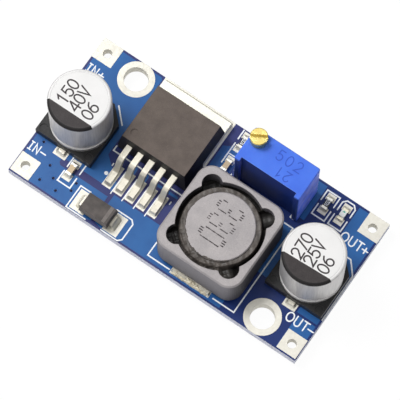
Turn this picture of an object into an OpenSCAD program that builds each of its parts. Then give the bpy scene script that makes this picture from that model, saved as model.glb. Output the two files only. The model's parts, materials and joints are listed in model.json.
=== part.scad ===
// Step-down converter module: a bare circuit board that carries a regulator,
// a shielded inductor, two electrolytic capacitors and a multi-turn trimmer.
// +X runs from the input end to the output end, +Y to the back edge, +Z up.
// The origin is the middle of the mounting-hole pattern, on the board's underside.

/* [Board] */
// Length of the board, from the input end to the output end
board_l = 43.2; // [43:0.1:50]
// Width of the board, from the front edge to the back edge
board_w = 21.1; // [20.8:0.1:26]
// Thickness of the laminate
board_t = 1.6; // [0.8:0.1:2.4]
// Thickness of the tinned copper on lands, pads, rings and barrels
plating_t = 0.05; // [0.03:0.01:0.1]
// Radius of a via
via_r = 0.17; // [0.1:0.01:0.25]

/* [Mounting holes] */
// Radius of each mounting hole, inside its plating
hole_r = 1.6; // [1.1:0.05:1.7]
// From a board end to the mounting hole near it
hole_end_gap = 6.4; // [6:0.1:7]
// From a long edge to the mounting hole near it
hole_edge_gap = 2.35; // [2.2:0.05:2.8]
// Width of the plated ring round each mounting hole
ring_w = 0.8; // [0.4:0.05:0.9]

/* [Wire pads] */
// Radius of each wire hole, inside its plating
wire_hole_r = 0.6; // [0.4:0.05:0.9]
// From a board end to the wire holes near it
wire_end_gap = 1.5; // [1.4:0.05:2]
// From a long edge to the wire holes near it
wire_edge_gap = 1.6; // [1.4:0.05:2]
// Side of each square wire pad
pad_w = 2.8; // [2.2:0.1:2.8]

/* [Electrolytic capacitors] */
// Diameter of each can
can_d = 8; // [6.3:0.1:8.6]
// Height of the can's top above the board
can_h = 10.2; // [5.4:0.1:12.5]
// Radius of the can's rolled top edge
can_edge_r = 0.35; // [0.15:0.05:0.6]
// Depth of the crimp groove near the can's foot
crimp_depth = 0.28; // [0.1:0.02:0.4]
// Height of the crimp groove above the can's foot
crimp_rise = 1.9; // [1.4:0.1:2.4]
// How far the base stands out past the can on each side
base_lip = 0.15; // [0.1:0.05:0.4]
// Height of the base's corner posts
base_h = 1.5; // [1.2:0.1:2]
// Thickness of the base under the can
base_floor = 0.65; // [0.5:0.05:0.9]
// Length cut off each of the two corners on the positive side
base_chamfer = 2; // [1:0.1:2.6]
// Distance between the two leads where they leave the can
can_lead_pitch = 3.1; // [2:0.1:3.5]
// Width of a lead
can_lead_w = 0.9; // [0.6:0.05:1.2]
// Thickness of a lead
can_lead_t = 0.3; // [0.2:0.05:0.4]
// How far a lead's tip stands out past the base
can_lead_out = 0.45; // [0.2:0.05:0.8]
// Gap between the input capacitor's base and the regulator
input_can_gap = 1.25; // [0.8:0.05:1.3]
// Gap between the inductor and the output capacitor's base
output_can_gap = 1.45; // [1:0.05:1.7]
// Place of the input capacitor's axis across the board
input_can_y = -0.5; // [-0.8:0.1:0.5]
// Place of the output capacitor's axis across the board
output_can_y = -0.35; // [-0.8:0.05:0.5]

/* [Inductor] */
// Side of the square ferrite shield
shield_w = 12.3; // [11.6:0.1:12.8]
// Height of the shield's top above the board
shield_h = 7; // [5:0.1:8]
// Gap between the shield and the board
shield_rise = 0.7; // [0.5:0.05:1]
// Radius of the shield's upright corners
shield_corner_r = 2; // [1:0.1:2.4]
// Chamfer round the shield's top edge
shield_chamfer = 0.2; // [0.1:0.05:0.4]
// Wall of the shield where its bore comes nearest to a side
shield_wall = 0.55; // [0.4:0.05:0.8]
// Radius of the lobe in each corner of the bore
lobe_r = 1.3; // [0.9:0.05:1.5]
// Diameter of the core's top flange
flange_d = 8.8; // [8:0.1:9.6]
// Thickness of each flange of the core
flange_t = 1.1; // [0.8:0.1:1.4]
// Gap between the core's lower flange and the shield's bore
flange_gap = 0.35; // [0.2:0.05:0.6]
// Diameter of the core's waist, under the winding
waist_d = 4.6; // [3.5:0.1:5.5]
// Diameter of the enamelled wire
wire_d = 0.6; // [0.4:0.05:0.8]
// How far the core's top lies below the shield's top
core_drop = 0.15; // [0.05:0.05:0.4]
// How far the glue's surface lies below the core's top
glue_drop = 0.55; // [0.2:0.05:0.8]
// Depth of the glue ring
glue_t = 0.9; // [0.5:0.1:1.5]
// Width of a terminal
terminal_w = 5.4; // [4:0.1:5.8]
// Thickness of a terminal
terminal_t = 0.3; // [0.2:0.05:0.4]
// How far a terminal stands out past the shield
terminal_out = 0.4; // [0.2:0.05:0.6]
// Place of the inductor's axis along the board
inductor_x = 5.4; // [5:0.1:5.8]
// From the front edge of the board to the shield
inductor_gap = 1.2; // [1:0.05:1.4]

/* [Regulator] */
// Width of the moulded body at its foot
reg_w = 10.2; // [9.6:0.1:10.4]
// Length of the moulded body at its foot
reg_l = 8.75; // [8.2:0.05:9]
// Height of the body's top above the board
reg_h = 4.5; // [4.2:0.1:4.8]
// How far each upper wall leans in
reg_draft = 0.42; // [0.1:0.02:0.6]
// Thickness of the metal tab
tab_t = 1.27; // [1:0.01:1.4]
// How far the tab stands out behind the body
tab_out = 1.5; // [1.1:0.1:1.8]
// Length of the tab's plate, from under the body to its back edge
tab_l = 6.35; // [5.8:0.05:6.8]
// Width of the plate's neck, which runs forward under the body
neck_w = 7.2; // [6:0.1:8]
// Distance between neighbouring leads
lead_pitch = 1.7; // [1.6:0.01:1.8]
// Width of a lead
lead_w = 0.8; // [0.6:0.02:0.95]
// Thickness of a lead
lead_t = 0.5; // [0.4:0.02:0.6]
// Height of a lead's upper face where it leaves the body
lead_h = 2.9; // [2.5:0.05:3.1]
// How far a lead's foot reaches out in front of the body
lead_reach = 4.6; // [4.4:0.05:4.9]
// Length of a lead's shoulder, before its bend
shoulder_l = 1.7; // [1.3:0.05:2]
// Radius of the bends in a lead, along its middle
bend_r = 0.55; // [0.35:0.05:0.7]
// Radius of the dimple that marks the first lead
dimple_r = 0.5; // [0.3:0.05:0.7]
// Gap between the regulator's body and the inductor
regulator_gap = 1.05; // [0.9:0.05:1.2]
// From the tab to the back edge of the board
tab_gap = 0.65; // [0.4:0.05:0.9]

/* [Trimmer] */
// Width of the housing
trim_w = 9.53; // [9.2:0.01:9.8]
// Depth of the housing
trim_d = 4.83; // [4.7:0.01:5.1]
// Height of the housing's top above the board
trim_h = 10; // [9.7:0.05:10.6]
// Height of the feet under the housing
trim_foot_h = 0.4; // [0.2:0.05:0.6]
// Depth of the recess in the housing's front face
recess_d = 0.6; // [0.4:0.05:0.7]
// Width of the rib on each side of the recess
rib_w = 0.75; // [0.5:0.05:1]
// Wall round the housing's chamber
trim_wall = 0.6; // [0.5:0.05:0.7]
// Thickness of the roof over the chamber
roof_t = 0.8; // [0.7:0.05:1]
// Chamfer round the housing's top edge
trim_chamfer = 0.12; // [0.05:0.01:0.2]
// Gap between the inductor's shield and the housing
trimmer_gap = 1.2; // [1.05:0.05:1.4]
// Place of the housing's middle along the board
trimmer_x = 7.07; // [6.8:0.01:7.2]
// Depth of the sealing resin under the chamber
resin_t = 1; // [0.8:0.1:1.2]

/* [Adjusting screw and worm drive] */
// From the screw's axis to the two nearest sides of the housing
screw_inset = 1.2; // [1.15:0.01:1.3]
// Radius of the screw's slotted head
head_r = 1.13; // [1:0.01:1.14]
// Height of the screw's head
head_h = 1.35; // [1:0.05:1.6]
// Width of the screwdriver slot
slot_w = 0.5; // [0.3:0.05:0.6]
// Depth of the screwdriver slot
slot_depth = 0.75; // [0.4:0.05:0.8]
// Turn of the slot from the board's length, in degrees
slot_turn = 30; // [0:5:180]
// Radius of the shank and of the worm's crest
worm_r = 0.8; // [0.78:0.01:0.84]
// Depth of the worm's thread
thread_depth = 0.34; // [0.3:0.01:0.36]
// Distance between neighbouring turns of the thread
worm_pitch = 0.6; // [0.56:0.01:0.62]
// Number of turns of thread on the worm
worm_turns = 7; // [5:1:7]
// Number of teeth on the worm wheel
wheel_teeth = 32; // [30:1:33]
// Face width of the worm wheel
wheel_face = 0.7; // [0.5:0.05:0.8]
// Gap at the tips of the wheel's teeth and of the thread
tip_gap = 0.05; // [0.03:0.01:0.08]
// Running gap round the screw and round the rotor's pivot
run_gap = 0.04; // [0.02:0.01:0.06]
// Radius of the pivot that carries the rotor
pivot_r = 0.7; // [0.5:0.05:0.8]
// Radius of the rotor's hub
hub_r = 1.35; // [1.2:0.05:1.5]
// Diameter of the seal's round section
seal_d = 0.32; // [0.24:0.02:0.36]
// Thickness of the wiper's sprung metal
wiper_t = 0.12; // [0.1:0.01:0.2]
// Thickness of the ceramic substrate
substrate_t = 0.6; // [0.4:0.05:0.7]
// Thickness of the resistive print
track_t = 0.03; // [0.02:0.01:0.05]
// Radius of the middle of the resistive arc
track_r = 2.3; // [2:0.05:2.5]
// Width of the resistive arc
track_w = 0.6; // [0.4:0.05:0.7]
// Angle that the resistive arc covers, in degrees
track_angle = 290; // [280:5:310]
// Distance between neighbouring pins
pin_pitch = 2.54; // [2.5:0.01:2.6]
// Radius of a pin
pin_r = 0.25; // [0.2:0.01:0.3]
// Gap round a pin in its hole through the board
pin_hole_gap = 0.15; // [0.1:0.01:0.25]
// Width of the plated ring round a pin's hole
pin_ring_w = 0.45; // [0.3:0.05:0.5]
// How far a pin stands out under the board
pin_out = 0.8; // [0.4:0.1:1.2]

/* [Diode] */
// Length of the moulded body
diode_l = 4.3; // [4:0.1:4.5]
// Width of the moulded body
diode_w = 2.6; // [2.4:0.05:2.8]
// Height of the body's top above the board
diode_h = 2.2; // [2:0.05:2.4]
// How far each wall of the body leans in
diode_draft = 0.15; // [0.05:0.01:0.25]
// Width of a lead
diode_lead_w = 1.45; // [1.2:0.05:1.6]
// Thickness of a lead
diode_lead_t = 0.2; // [0.15:0.01:0.3]
// How far a lead stands out past the body
diode_lead_out = 0.45; // [0.35:0.05:0.6]
// From the regulator's middle lead to the diode's middle, along the board
diode_shift = 2.15; // [1.9:0.05:2.4]
// From the front edge of the board to the diode's body
diode_gap = 0.45; // [0.3:0.05:0.6]

/* [Chip parts] */
// Length of a chip part
chip_l = 1.6; // [1.5:0.05:1.7]
// Width of a chip part
chip_w = 0.8; // [0.7:0.05:0.9]
// Height of a chip capacitor
chip_cap_h = 0.8; // [0.6:0.05:0.9]
// Height of a chip resistor
chip_res_h = 0.45; // [0.35:0.05:0.6]
// Thickness of the metal on a chip's ends
cap_metal_t = 0.04; // [0.02:0.01:0.06]
// Length of the metal on each end of a chip
cap_metal_l = 0.32; // [0.2:0.02:0.4]
// Height of the lamp's lens above its base
lens_h = 0.42; // [0.3:0.02:0.6]
// Thickness of the lamp's base
lamp_base_t = 0.25; // [0.2:0.01:0.35]
// From the back edge of the board to the lamp and its resistor
lamp_gap = 2.25; // [2.1:0.05:2.5]
// Gap between the trimmer and the lamp's resistor
lamp_res_gap = 1.45; // [1.2:0.05:1.8]
// Distance between the lamp and its resistor, centre to centre
lamp_pitch = 2.4; // [2:0.05:2.6]
// Gap between the trimmer and the feedback parts beside it
feedback_gap = 1.3; // [1:0.05:1.5]
// Gap between the feedback resistor and the back edge of the board
feedback_edge_gap = 0.85; // [0.7:0.05:1]
// Place of the feedback capacitor on the way from the inductor (0) to that resistor (1)
feedback_share = 0.44; // [0.4:0.01:0.6]
// Gap between the input capacitor's base and the chip capacitor in front of it
input_chip_gap = 0.75; // [0.5:0.05:1]

/* [Lands and solder] */
// Width of a chip part's land
land_w = 1.2; // [1:0.05:1.3]
// How far a land reaches past what is soldered to it
land_toe = 0.55; // [0.4:0.05:0.6]
// Gap that keeps the lands clear of the pads and mounting rings
copper_gap = 0.3; // [0.15:0.05:0.4]
// How far a solder fillet reaches out from the metal that it wets
fillet_reach = 0.32; // [0.2:0.02:0.4]
// How far the solder spreads past each side of a capacitor's lead
fillet_side = 0.4; // [0.2:0.05:0.5]
// How far a capacitor's land reaches past each side of its solder
land_side = 0.08; // [0.05:0.01:0.15]

/* [Hidden] */
$fn = 64;

// How far a cutting shape runs past the face that it cuts
cut = 0.2;
// Upper face of the board, and of the lands on it
top_z = board_t;
land_z = board_t + plating_t;

// Holes of the bare board
hole_x = board_l / 2 - hole_end_gap;
hole_y = board_w / 2 - hole_edge_gap;
hole_spots = [[-hole_x, hole_y], [hole_x, -hole_y]];
wire_x = board_l / 2 - wire_end_gap;
wire_y = board_w / 2 - wire_edge_gap;
via_spots = [for (p = [[1.6, 5.45], [4, 3.4], [5.3, 2.25], [8.05, 3.35], [8.05, 2.2], [4, 1.15], [6.45, 1.1]])
    [-board_l / 2 + p[0], -board_w / 2 + p[1]]];

// Inductor
inductor_y = -board_w / 2 + inductor_gap + shield_w / 2;
bore_r = shield_w / 2 - shield_wall;
lobe_spot = shield_w / 2 - lobe_r - 2 * shield_wall + 0.1;
core_foot = land_z + terminal_t;
core_top = top_z + shield_h - core_drop;
lower_flange_r = bore_r - flange_gap;
winding_low = core_foot + flange_t;
winding_high = core_top - flange_t;
winding_rows = floor((winding_high - winding_low) / wire_d);
winding_r = waist_d / 2 + 2.6 * wire_d;
tail_spot = waist_d / 2 + 2 * wire_d;
terminal_reach = shield_w / 2 + terminal_out;

// Regulator
reg_x = inductor_x - shield_w / 2 - regulator_gap - reg_w / 2;
reg_back = board_w / 2 - tab_gap - tab_out;
reg_front = reg_back - reg_l;
lead_inner = 1.4;
foot_l = lead_reach - shoulder_l - 2 * bend_r;
tab_back = reg_back + tab_out;
tab_front = tab_back - tab_l;
riser_y = reg_front + lead_inner - 0.4;
lead_land_l = lead_reach + land_toe - shoulder_l - 0.2;
lead_land_y = reg_front - lead_reach - land_toe + lead_land_l / 2;

// Capacitors
base_w = can_d + 2 * base_lip;
input_can_x = reg_x - reg_w / 2 - input_can_gap - base_w / 2;
output_can_x = inductor_x + shield_w / 2 + output_can_gap + base_w / 2;
can_lead_reach = base_w / 2 + can_lead_out;
can_solder_w = can_lead_w + 2 * fillet_side;
can_land_w = can_solder_w + 2 * land_side;

// Trimmer housing and its chamber
trim_x0 = trimmer_x - trim_w / 2;
trim_y0 = inductor_y + shield_w / 2 + trimmer_gap;
trim_back = trim_y0 + trim_d;
trim_top = top_z + trim_h;
trim_foot = top_z + trim_foot_h;
screw_x = trim_x0 + screw_inset;
screw_y = trim_back - screw_inset;
chamber_x0 = screw_x + 0.5;
chamber_x1 = trim_x0 + trim_w - trim_wall;
chamber_y0 = trim_y0 + recess_d + trim_wall;
chamber_y1 = trim_back - trim_wall + 0.1;
chamber_z0 = trim_foot + resin_t;
chamber_z1 = trim_top - roof_t;

// Worm drive
worm_root_r = worm_r - thread_depth;
worm_mid_r = worm_r - thread_depth / 2;
wheel_mid_r = wheel_teeth * worm_pitch / (2 * PI);
rotor_x = screw_x + worm_mid_r + wheel_mid_r;
rotor_z = (chamber_z0 + chamber_z1) / 2;
wheel_tip_r = rotor_x - screw_x - worm_root_r - tip_gap;
wheel_root_r = rotor_x - screw_x - worm_r - tip_gap;
worm_l = worm_turns * worm_pitch;
worm_low = rotor_z - worm_l / 2;
spigot_l = 0.6;
head_z = trim_top + run_gap;
seal_z = trim_top - roof_t / 2;
screw_bore_r = worm_r + run_gap;

// What the rotor carries and what it wipes
substrate_back = chamber_y0 + substrate_t;
track_back = substrate_back + track_t;
hub_back = chamber_y1 - run_gap;
hub_front = screw_y - wheel_face / 2 - 0.55;
pin_y = substrate_back + pin_r;
pin_top = chamber_z0 + 0.8;
pin_hole_r = pin_r + pin_hole_gap;
pin_land_r = pin_hole_r + pin_ring_w;
pin_spots = [for (i = [-1:1]) [trimmer_x + i * pin_pitch, pin_y]];

// Diode
diode_x = reg_x - diode_shift;
diode_y = -board_w / 2 + diode_gap + diode_w / 2;
diode_mid_z = land_z + diode_lead_t + (diode_h - plating_t - diode_lead_t) * 0.45;

// Chip parts: place along and across the board
input_chip = [input_can_x + 2.4, input_can_y - base_w / 2 - input_chip_gap - chip_l / 2];
feedback_x = trim_x0 - feedback_gap - chip_w / 2;
feedback_res = [feedback_x, board_w / 2 - feedback_edge_gap - chip_l / 2];
shield_back = inductor_y + shield_w / 2;
feedback_room = feedback_res[1] - chip_l / 2 - shield_back;
feedback_chip = [feedback_x, shield_back + feedback_share * feedback_room];
lamp_res = [trim_x0 + trim_w + lamp_res_gap + chip_w / 2, board_w / 2 - lamp_gap];
lamp = [lamp_res[0] + lamp_pitch, board_w / 2 - lamp_gap];
chip_spots = [input_chip, feedback_chip, feedback_res, lamp_res, lamp];

// Unit vector along v, and v turned a quarter to the left
function unit(v) = v / norm(v);
function left(v) = [-v[1], v[0]];
function spun(v, a) = [v[0] * cos(a) - v[1] * sin(a), v[0] * sin(a) + v[1] * cos(a)];
function bend_angle(a, b) = atan2(a[0] * b[1] - a[1] * b[0], a * b);

// Points of the arc of radius r that rounds the corner b between a and c
function corner_arc(a, b, c, r, n) =
    let (d = unit(b - a), t = bend_angle(d, unit(c - b)))
    let (start = b - d * r * tan(abs(t) / 2), centre = start + left(d) * sign(t) * r)
    [for (i = [0:n]) centre + spun(start - centre, t * i / n)];

// A path whose inner corners are rounded to radius r
function rounded_path(p, r, n = 6) = concat(
    [p[0]],
    [for (i = [1:len(p) - 2]) each corner_arc(p[i - 1], p[i], p[i + 1], r, n)],
    [p[len(p) - 1]]
);

// The point that lies o to the left of point i of a path
function beside(p, i, o) =
    let (a = unit(p[max(i, 1)] - p[max(i, 1) - 1]))
    let (b = unit(p[min(i, len(p) - 2) + 1] - p[min(i, len(p) - 2)]))
    let (m = unit(left(a) + left(b)))
    p[i] + m * o / (m * left(a));

// Outline of a strip of thickness t that is bent along a path
function strip(p, t) = concat(
    [for (i = [0:len(p) - 1]) beside(p, i, t / 2)],
    [for (i = [len(p) - 1:-1:0]) beside(p, i, -t / 2)]
);

// A strip of width w, bent in an upright plane: u runs out along +X, v up
module bent_strip(path, t, r, w) {
    translate([0, w / 2, 0])
        rotate([90, 0, 0])
            linear_extrude(w) polygon(strip(rounded_path(path, r), t));
}

// A block with round upright corners and a chamfer round its top, on z = 0
module soft_block(l, w, h, r, c) {
    module slab(l, d) {
        translate([0, d / 2, 0])
            rotate([90, 0, 0])
                linear_extrude(d)
                    polygon([[-l / 2, 0], [l / 2, 0], [l / 2, h - c],
                        [l / 2 - c, h], [c - l / 2, h], [-l / 2, h - c]]);
    }
    slab(l, w - 2 * r);
    rotate([0, 0, 90]) slab(w, l - 2 * r);
    for (x = [-1, 1], y = [-1, 1])
        translate([x * (l / 2 - r), y * (w / 2 - r), 0])
            rotate_extrude() polygon([[0, 0], [r, 0], [r, h - c], [r - c, h], [0, h]]);
}

// A block whose walls lean in by d from its foot to its top
module leaning_block(l, w, h, d) {
    hull() {
        translate([-l / 2, -w / 2, 0]) cube([l, w, 0.01]);
        translate([d - l / 2, d - w / 2, h - 0.01]) cube([l - 2 * d, w - 2 * d, 0.01]);
    }
}

// A round hole through the board
module drill(p, r) {
    translate([p[0], p[1], -cut]) cylinder(h = board_t + 2 * cut, r = r);
}

// ---- Bare board ----

module board() {
    color("steelblue")
    difference() {
        translate([-board_l / 2, -board_w / 2, 0]) cube([board_l, board_w, board_t]);
        for (p = hole_spots) drill(p, hole_r + plating_t);
        for (x = [-wire_x, wire_x], y = [-wire_y, wire_y]) drill([x, y], wire_hole_r + plating_t);
        for (p = pin_spots) drill(p, pin_hole_r);
        for (p = via_spots) drill(p, via_r);
    }
}

// The plating of one hole: its barrel and a ring on each face of the board
module plated_hole(r, ring_r) {
    rotate_extrude() {
        translate([r, -plating_t]) square([plating_t, board_t + 2 * plating_t]);
        translate([r, -plating_t]) square([ring_r - r, plating_t]);
        translate([r, board_t]) square([ring_r - r, plating_t]);
    }
}

// The mounting rings stop at the edge of the board
module mounting_rings() {
    color("ivory")
    intersection() {
        for (p = hole_spots) translate([p[0], p[1], 0]) plated_hole(hole_r, hole_r + ring_w);
        translate([-board_l / 2, -board_w / 2, -1]) cube([board_l, board_w, board_t + 2]);
    }
}

// One pad at the output end. A positive pad runs on to the board's edges.
module wire_pad(positive) {
    x1 = positive ? board_l / 2 : wire_x + pad_w / 2;
    y1 = positive ? board_w / 2 : wire_y + pad_w / 2;
    difference() {
        union() {
            for (z = [-plating_t, board_t])
                translate([wire_x - pad_w / 2, wire_y - pad_w / 2, z])
                    cube([x1 - wire_x + pad_w / 2, y1 - wire_y + pad_w / 2, plating_t]);
            translate([wire_x, wire_y, -plating_t])
                cylinder(h = board_t + 2 * plating_t, r = wire_hole_r + plating_t);
        }
        drill([wire_x, wire_y], wire_hole_r);
    }
}

module wire_pads() {
    color("ivory") {
        wire_pad(true);
        mirror([1, 0, 0]) wire_pad(true);
        mirror([0, 1, 0]) wire_pad(false);
        mirror([1, 0, 0]) mirror([0, 1, 0]) wire_pad(false);
    }
}

// A land of length l and width w, centred on x and y
module land(x, y, l, w) {
    translate([x - l / 2, y - w / 2, top_z]) cube([l, w, plating_t]);
}

// Two lands that face each other across a part, from inner to outer along Y
module land_pair(x, y, w, inner, outer) {
    for (s = [-1, 1]) land(x, y + s * (inner + outer) / 2, w, outer - inner);
}

// Room left free round the pads and the mounting rings, as high as h
module copper_clearance(h) {
    for (p = hole_spots)
        translate([p[0], p[1], -h]) cylinder(h = board_t + 2 * h, r = hole_r + ring_w + copper_gap);
    side = pad_w + 2 * copper_gap;
    for (x = [-wire_x, wire_x], y = [-wire_y, wire_y])
        translate([x - side / 2, y - side / 2, -h]) cube([side, side, board_t + 2 * h]);
}

module component_lands() {
    color("ivory") {
        difference() {
            union() {
                land_pair(input_can_x, input_can_y, can_land_w, 1, can_lead_reach + land_toe);
                land_pair(output_can_x, output_can_y, can_land_w, 1, can_lead_reach + land_toe);
                land_pair(inductor_x, inductor_y, terminal_w + 0.4, waist_d / 2, terminal_reach + 0.3);
                for (i = [-2:2]) land(reg_x + i * lead_pitch, lead_land_y, 1.25, lead_land_l);
                land(reg_x, (tab_front + board_w / 2) / 2, reg_w + 0.55, board_w / 2 - tab_front);
                for (s = [-1, 1])
                    land(diode_x + s * (diode_l / 2 + 0.35), diode_y, 2.1, diode_w + 0.2);
                for (p = chip_spots)
                    land_pair(p[0], p[1], land_w, 0.5, chip_l / 2 + land_toe + 0.1);
            }
            copper_clearance(cut);
        }
        for (p = pin_spots)
            translate([p[0], p[1], -plating_t])
                difference() {
                    cylinder(h = plating_t, r = pin_land_r);
                    translate([0, 0, -cut]) cylinder(h = 2 * cut, r = pin_hole_r);
                }
    }
}

// A wedge of solder of width w and height h at (x, y), that falls away towards angle a
module fillet(x, y, a, w, h) {
    translate([x, y, land_z])
        rotate([0, 0, a])
            translate([0, w / 2, 0])
                rotate([90, 0, 0])
                    linear_extrude(w) polygon([[0, 0], [fillet_reach, 0], [fillet_reach / 3, h / 3], [0, h]]);
}

module solder_fillets() {
    color("silver") {
        for (s = [-1, 1]) {
            fillet(input_can_x, input_can_y + s * can_lead_reach, s * 90, can_solder_w, can_lead_t);
            fillet(output_can_x, output_can_y + s * can_lead_reach, s * 90, can_solder_w, can_lead_t);
            fillet(inductor_x, inductor_y + s * terminal_reach, s * 90, terminal_w, terminal_t);
            fillet(diode_x + s * (diode_l / 2 + diode_lead_out), diode_y, 90 - s * 90, diode_lead_w, 0.6);
        }
        for (i = [-2:2]) fillet(reg_x + i * lead_pitch, reg_front - lead_reach, -90, lead_w, lead_t * 0.7);
        fillet(reg_x, reg_back + tab_out, 90, reg_w - 0.6, tab_t * 0.5);
        for (p = chip_spots, s = [-1, 1]) fillet(p[0], p[1] + s * chip_l / 2, s * 90, chip_w, 0.3);
    }
}

// The cone of solder round each trimmer pin, under the board
module pin_solder() {
    color("silver")
    for (p = pin_spots)
        translate([p[0], p[1], 0])
            rotate_extrude()
                polygon([[pin_r, -pin_out * 0.75], [pin_r * 1.4, -pin_out * 0.75], [pin_r * 1.8, -pin_out / 4],
                    [pin_land_r - 0.1, -plating_t], [pin_r, -plating_t]]);
}

// ---- Electrolytic capacitors ----

// The can's own outline: foot, crimp groove, wall, rolled edge and shallow top ring
module can(x, y) {
    r = can_d / 2;
    foot = land_z + base_floor;
    top = top_z + can_h;
    crimp = foot + crimp_rise;
    translate([x, y, 0])
        rotate_extrude()
            difference() {
                union() {
                    translate([0, foot]) square([r - 0.3, 0.3]);
                    translate([r - 0.3, foot + 0.3]) circle(0.3);
                    translate([0, foot + 0.3]) square([r, top - foot - 0.3 - can_edge_r]);
                    translate([0, foot]) square([r - can_edge_r, top - foot]);
                    translate([r - can_edge_r, top - can_edge_r]) circle(can_edge_r);
                }
                translate([r + 0.5 - crimp_depth, crimp]) circle(0.5);
                translate([r - can_edge_r - 0.05, top + 0.06]) circle(0.1);
                translate([-r, foot - 1]) square([r, top - foot + 2]);
            }
}

// Square base with a round seat for the can and a slot under it for each lead
module can_base(x, y) {
    b = base_w / 2;
    translate([x, y, land_z])
        difference() {
            linear_extrude(base_h - plating_t)
                polygon([[-b, -b], [b, -b], [b, b - base_chamfer], [b - base_chamfer, b],
                    [base_chamfer - b, b], [-b, b - base_chamfer]]);
            translate([0, 0, base_floor]) cylinder(h = base_h, r = can_d / 2);
            for (s = [-1, 1]) {
                translate([-can_lead_w / 2 - 0.1, s > 0 ? 0 : -b - cut, -cut])
                    cube([can_lead_w + 0.2, b + cut, can_lead_t + cut]);
                translate([0, s * can_lead_pitch / 2, -cut]) cylinder(h = base_h, r = can_lead_w / 2 + 0.1);
                translate([s * (b - 0.75), 0.75 - b, base_h - plating_t - 0.12]) cylinder(h = 1, r = 0.5);
            }
        }
}

// A lead: down from the can, then out along the underside of the base
module can_lead(x, y, s) {
    path = [[can_lead_pitch / 2, base_floor], [can_lead_pitch / 2, can_lead_t / 2], [can_lead_reach, can_lead_t / 2]];
    translate([x, y, land_z])
        rotate([0, 0, s * 90])
            bent_strip(path, can_lead_t, can_lead_t * 0.6, can_lead_w);
}

module input_capacitor_can() { color("gainsboro") can(input_can_x, input_can_y); }
module input_capacitor_base() { color("dimgray") can_base(input_can_x, input_can_y); }
module input_capacitor_minus_lead() { color("silver") can_lead(input_can_x, input_can_y, -1); }
module input_capacitor_plus_lead() { color("silver") can_lead(input_can_x, input_can_y, 1); }
module output_capacitor_can() { color("gainsboro") can(output_can_x, output_can_y); }
module output_capacitor_base() { color("dimgray") can_base(output_can_x, output_can_y); }
module output_capacitor_minus_lead() { color("silver") can_lead(output_can_x, output_can_y, -1); }
module output_capacitor_plus_lead() { color("silver") can_lead(output_can_x, output_can_y, 1); }

// ---- Shielded inductor ----

// Square ferrite ring: one round bore for the core and a lobe towards each corner
module inductor_shield() {
    color("darkgray")
    translate([inductor_x, inductor_y, top_z + shield_rise])
        difference() {
            soft_block(shield_w, shield_w, shield_h - shield_rise, shield_corner_r, shield_chamfer);
            translate([0, 0, -cut]) cylinder(h = shield_h + 2 * cut, r = bore_r);
            for (x = [-1, 1], y = [-1, 1])
                translate([x * lobe_spot, y * lobe_spot, -cut]) cylinder(h = shield_h + 2 * cut, r = lobe_r);
        }
}

// Drum core: two flanges on a waist, the lower one notched for the wire's two tails
module inductor_core() {
    color("darkgray")
    translate([inductor_x, inductor_y, 0])
        difference() {
            rotate_extrude()
                polygon([[0, core_foot], [lower_flange_r, core_foot], [lower_flange_r, winding_low],
                    [waist_d / 2, winding_low], [waist_d / 2, winding_high], [flange_d / 2, winding_high],
                    [flange_d / 2, core_top - 0.12], [flange_d / 2 - 0.12, core_top], [0, core_top]]);
            for (s = [-1, 1])
                translate([0, s * tail_spot, core_foot - cut]) cylinder(h = flange_t + cut, r = wire_d / 2 + 0.1);
        }
}

// The winding: rows of turns on the waist, and a tail down to each terminal
module inductor_winding() {
    color("peru")
    translate([inductor_x, inductor_y, 0]) {
        rotate_extrude()
            translate([waist_d / 2, winding_low]) {
                square([winding_r - waist_d / 2 - wire_d / 2, winding_rows * wire_d]);
                for (i = [0:winding_rows - 1])
                    translate([winding_r - waist_d / 2 - wire_d / 2, (i + 0.5) * wire_d]) circle(wire_d / 2);
            }
        for (s = [-1, 1])
            translate([0, s * tail_spot, core_foot]) cylinder(h = flange_t + wire_d, r = wire_d / 2);
    }
}

// Ring of glue that holds the shield to the core's top flange
module inductor_glue() {
    color("darkslategray")
    translate([inductor_x, inductor_y, core_top - glue_drop - glue_t])
        rotate_extrude() translate([flange_d / 2, 0]) square([bore_r - flange_d / 2 - 0.02, glue_t]);
}

// A terminal: a strip from under the core's foot to just outside the shield
module inductor_terminal(s) {
    path = [[waist_d / 2, terminal_t / 2], [terminal_reach, terminal_t / 2]];
    translate([inductor_x, inductor_y, land_z])
        rotate([0, 0, s * 90])
            translate([0, terminal_w / 2, 0])
                rotate([90, 0, 0]) linear_extrude(terminal_w) polygon(strip(path, terminal_t));
}

module inductor_front_terminal() { color("silver") inductor_terminal(-1); }
module inductor_back_terminal() { color("silver") inductor_terminal(1); }

// ---- Regulator ----

// Path of a lead from inside the body to the tip of its foot
lead_path = [
    [-lead_inner, lead_h - plating_t - lead_t / 2],
    [shoulder_l, lead_h - plating_t - lead_t / 2],
    [lead_reach - foot_l, lead_t / 2],
    [lead_reach, lead_t / 2]
];

// A gull-wing lead of the regulator, counted from the input side
module gull_lead(n) {
    translate([reg_x + (n - 3) * lead_pitch, reg_front, land_z])
        rotate([0, 0, -90]) bent_strip(lead_path, lead_t, bend_r, lead_w);
}

// The tab is one plate: heat spreader under the body, and the middle lead rises from it
module tab_plate() {
    translate([reg_x - reg_w / 2, tab_front, land_z]) cube([reg_w, tab_l, tab_t]);
    translate([reg_x - neck_w / 2, riser_y, land_z]) cube([neck_w, tab_front - riser_y + 0.1, tab_t]);
}

module regulator_body() {
    color("dimgray")
    difference() {
        translate([reg_x, (reg_front + reg_back) / 2, land_z]) {
            translate([-reg_w / 2, -reg_l / 2, 0]) cube([reg_w, reg_l, tab_t]);
            translate([0, 0, tab_t]) leaning_block(reg_w, reg_l, reg_h - plating_t - tab_t, reg_draft);
        }
        tab_plate();
        tab_riser();
        for (n = [1:5]) gull_lead(n);
        translate([reg_x - reg_w / 2 + 1.5, reg_front + 1.6, top_z + reg_h - 0.12])
            cylinder(h = 1, r = dimple_r);
    }
}

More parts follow.
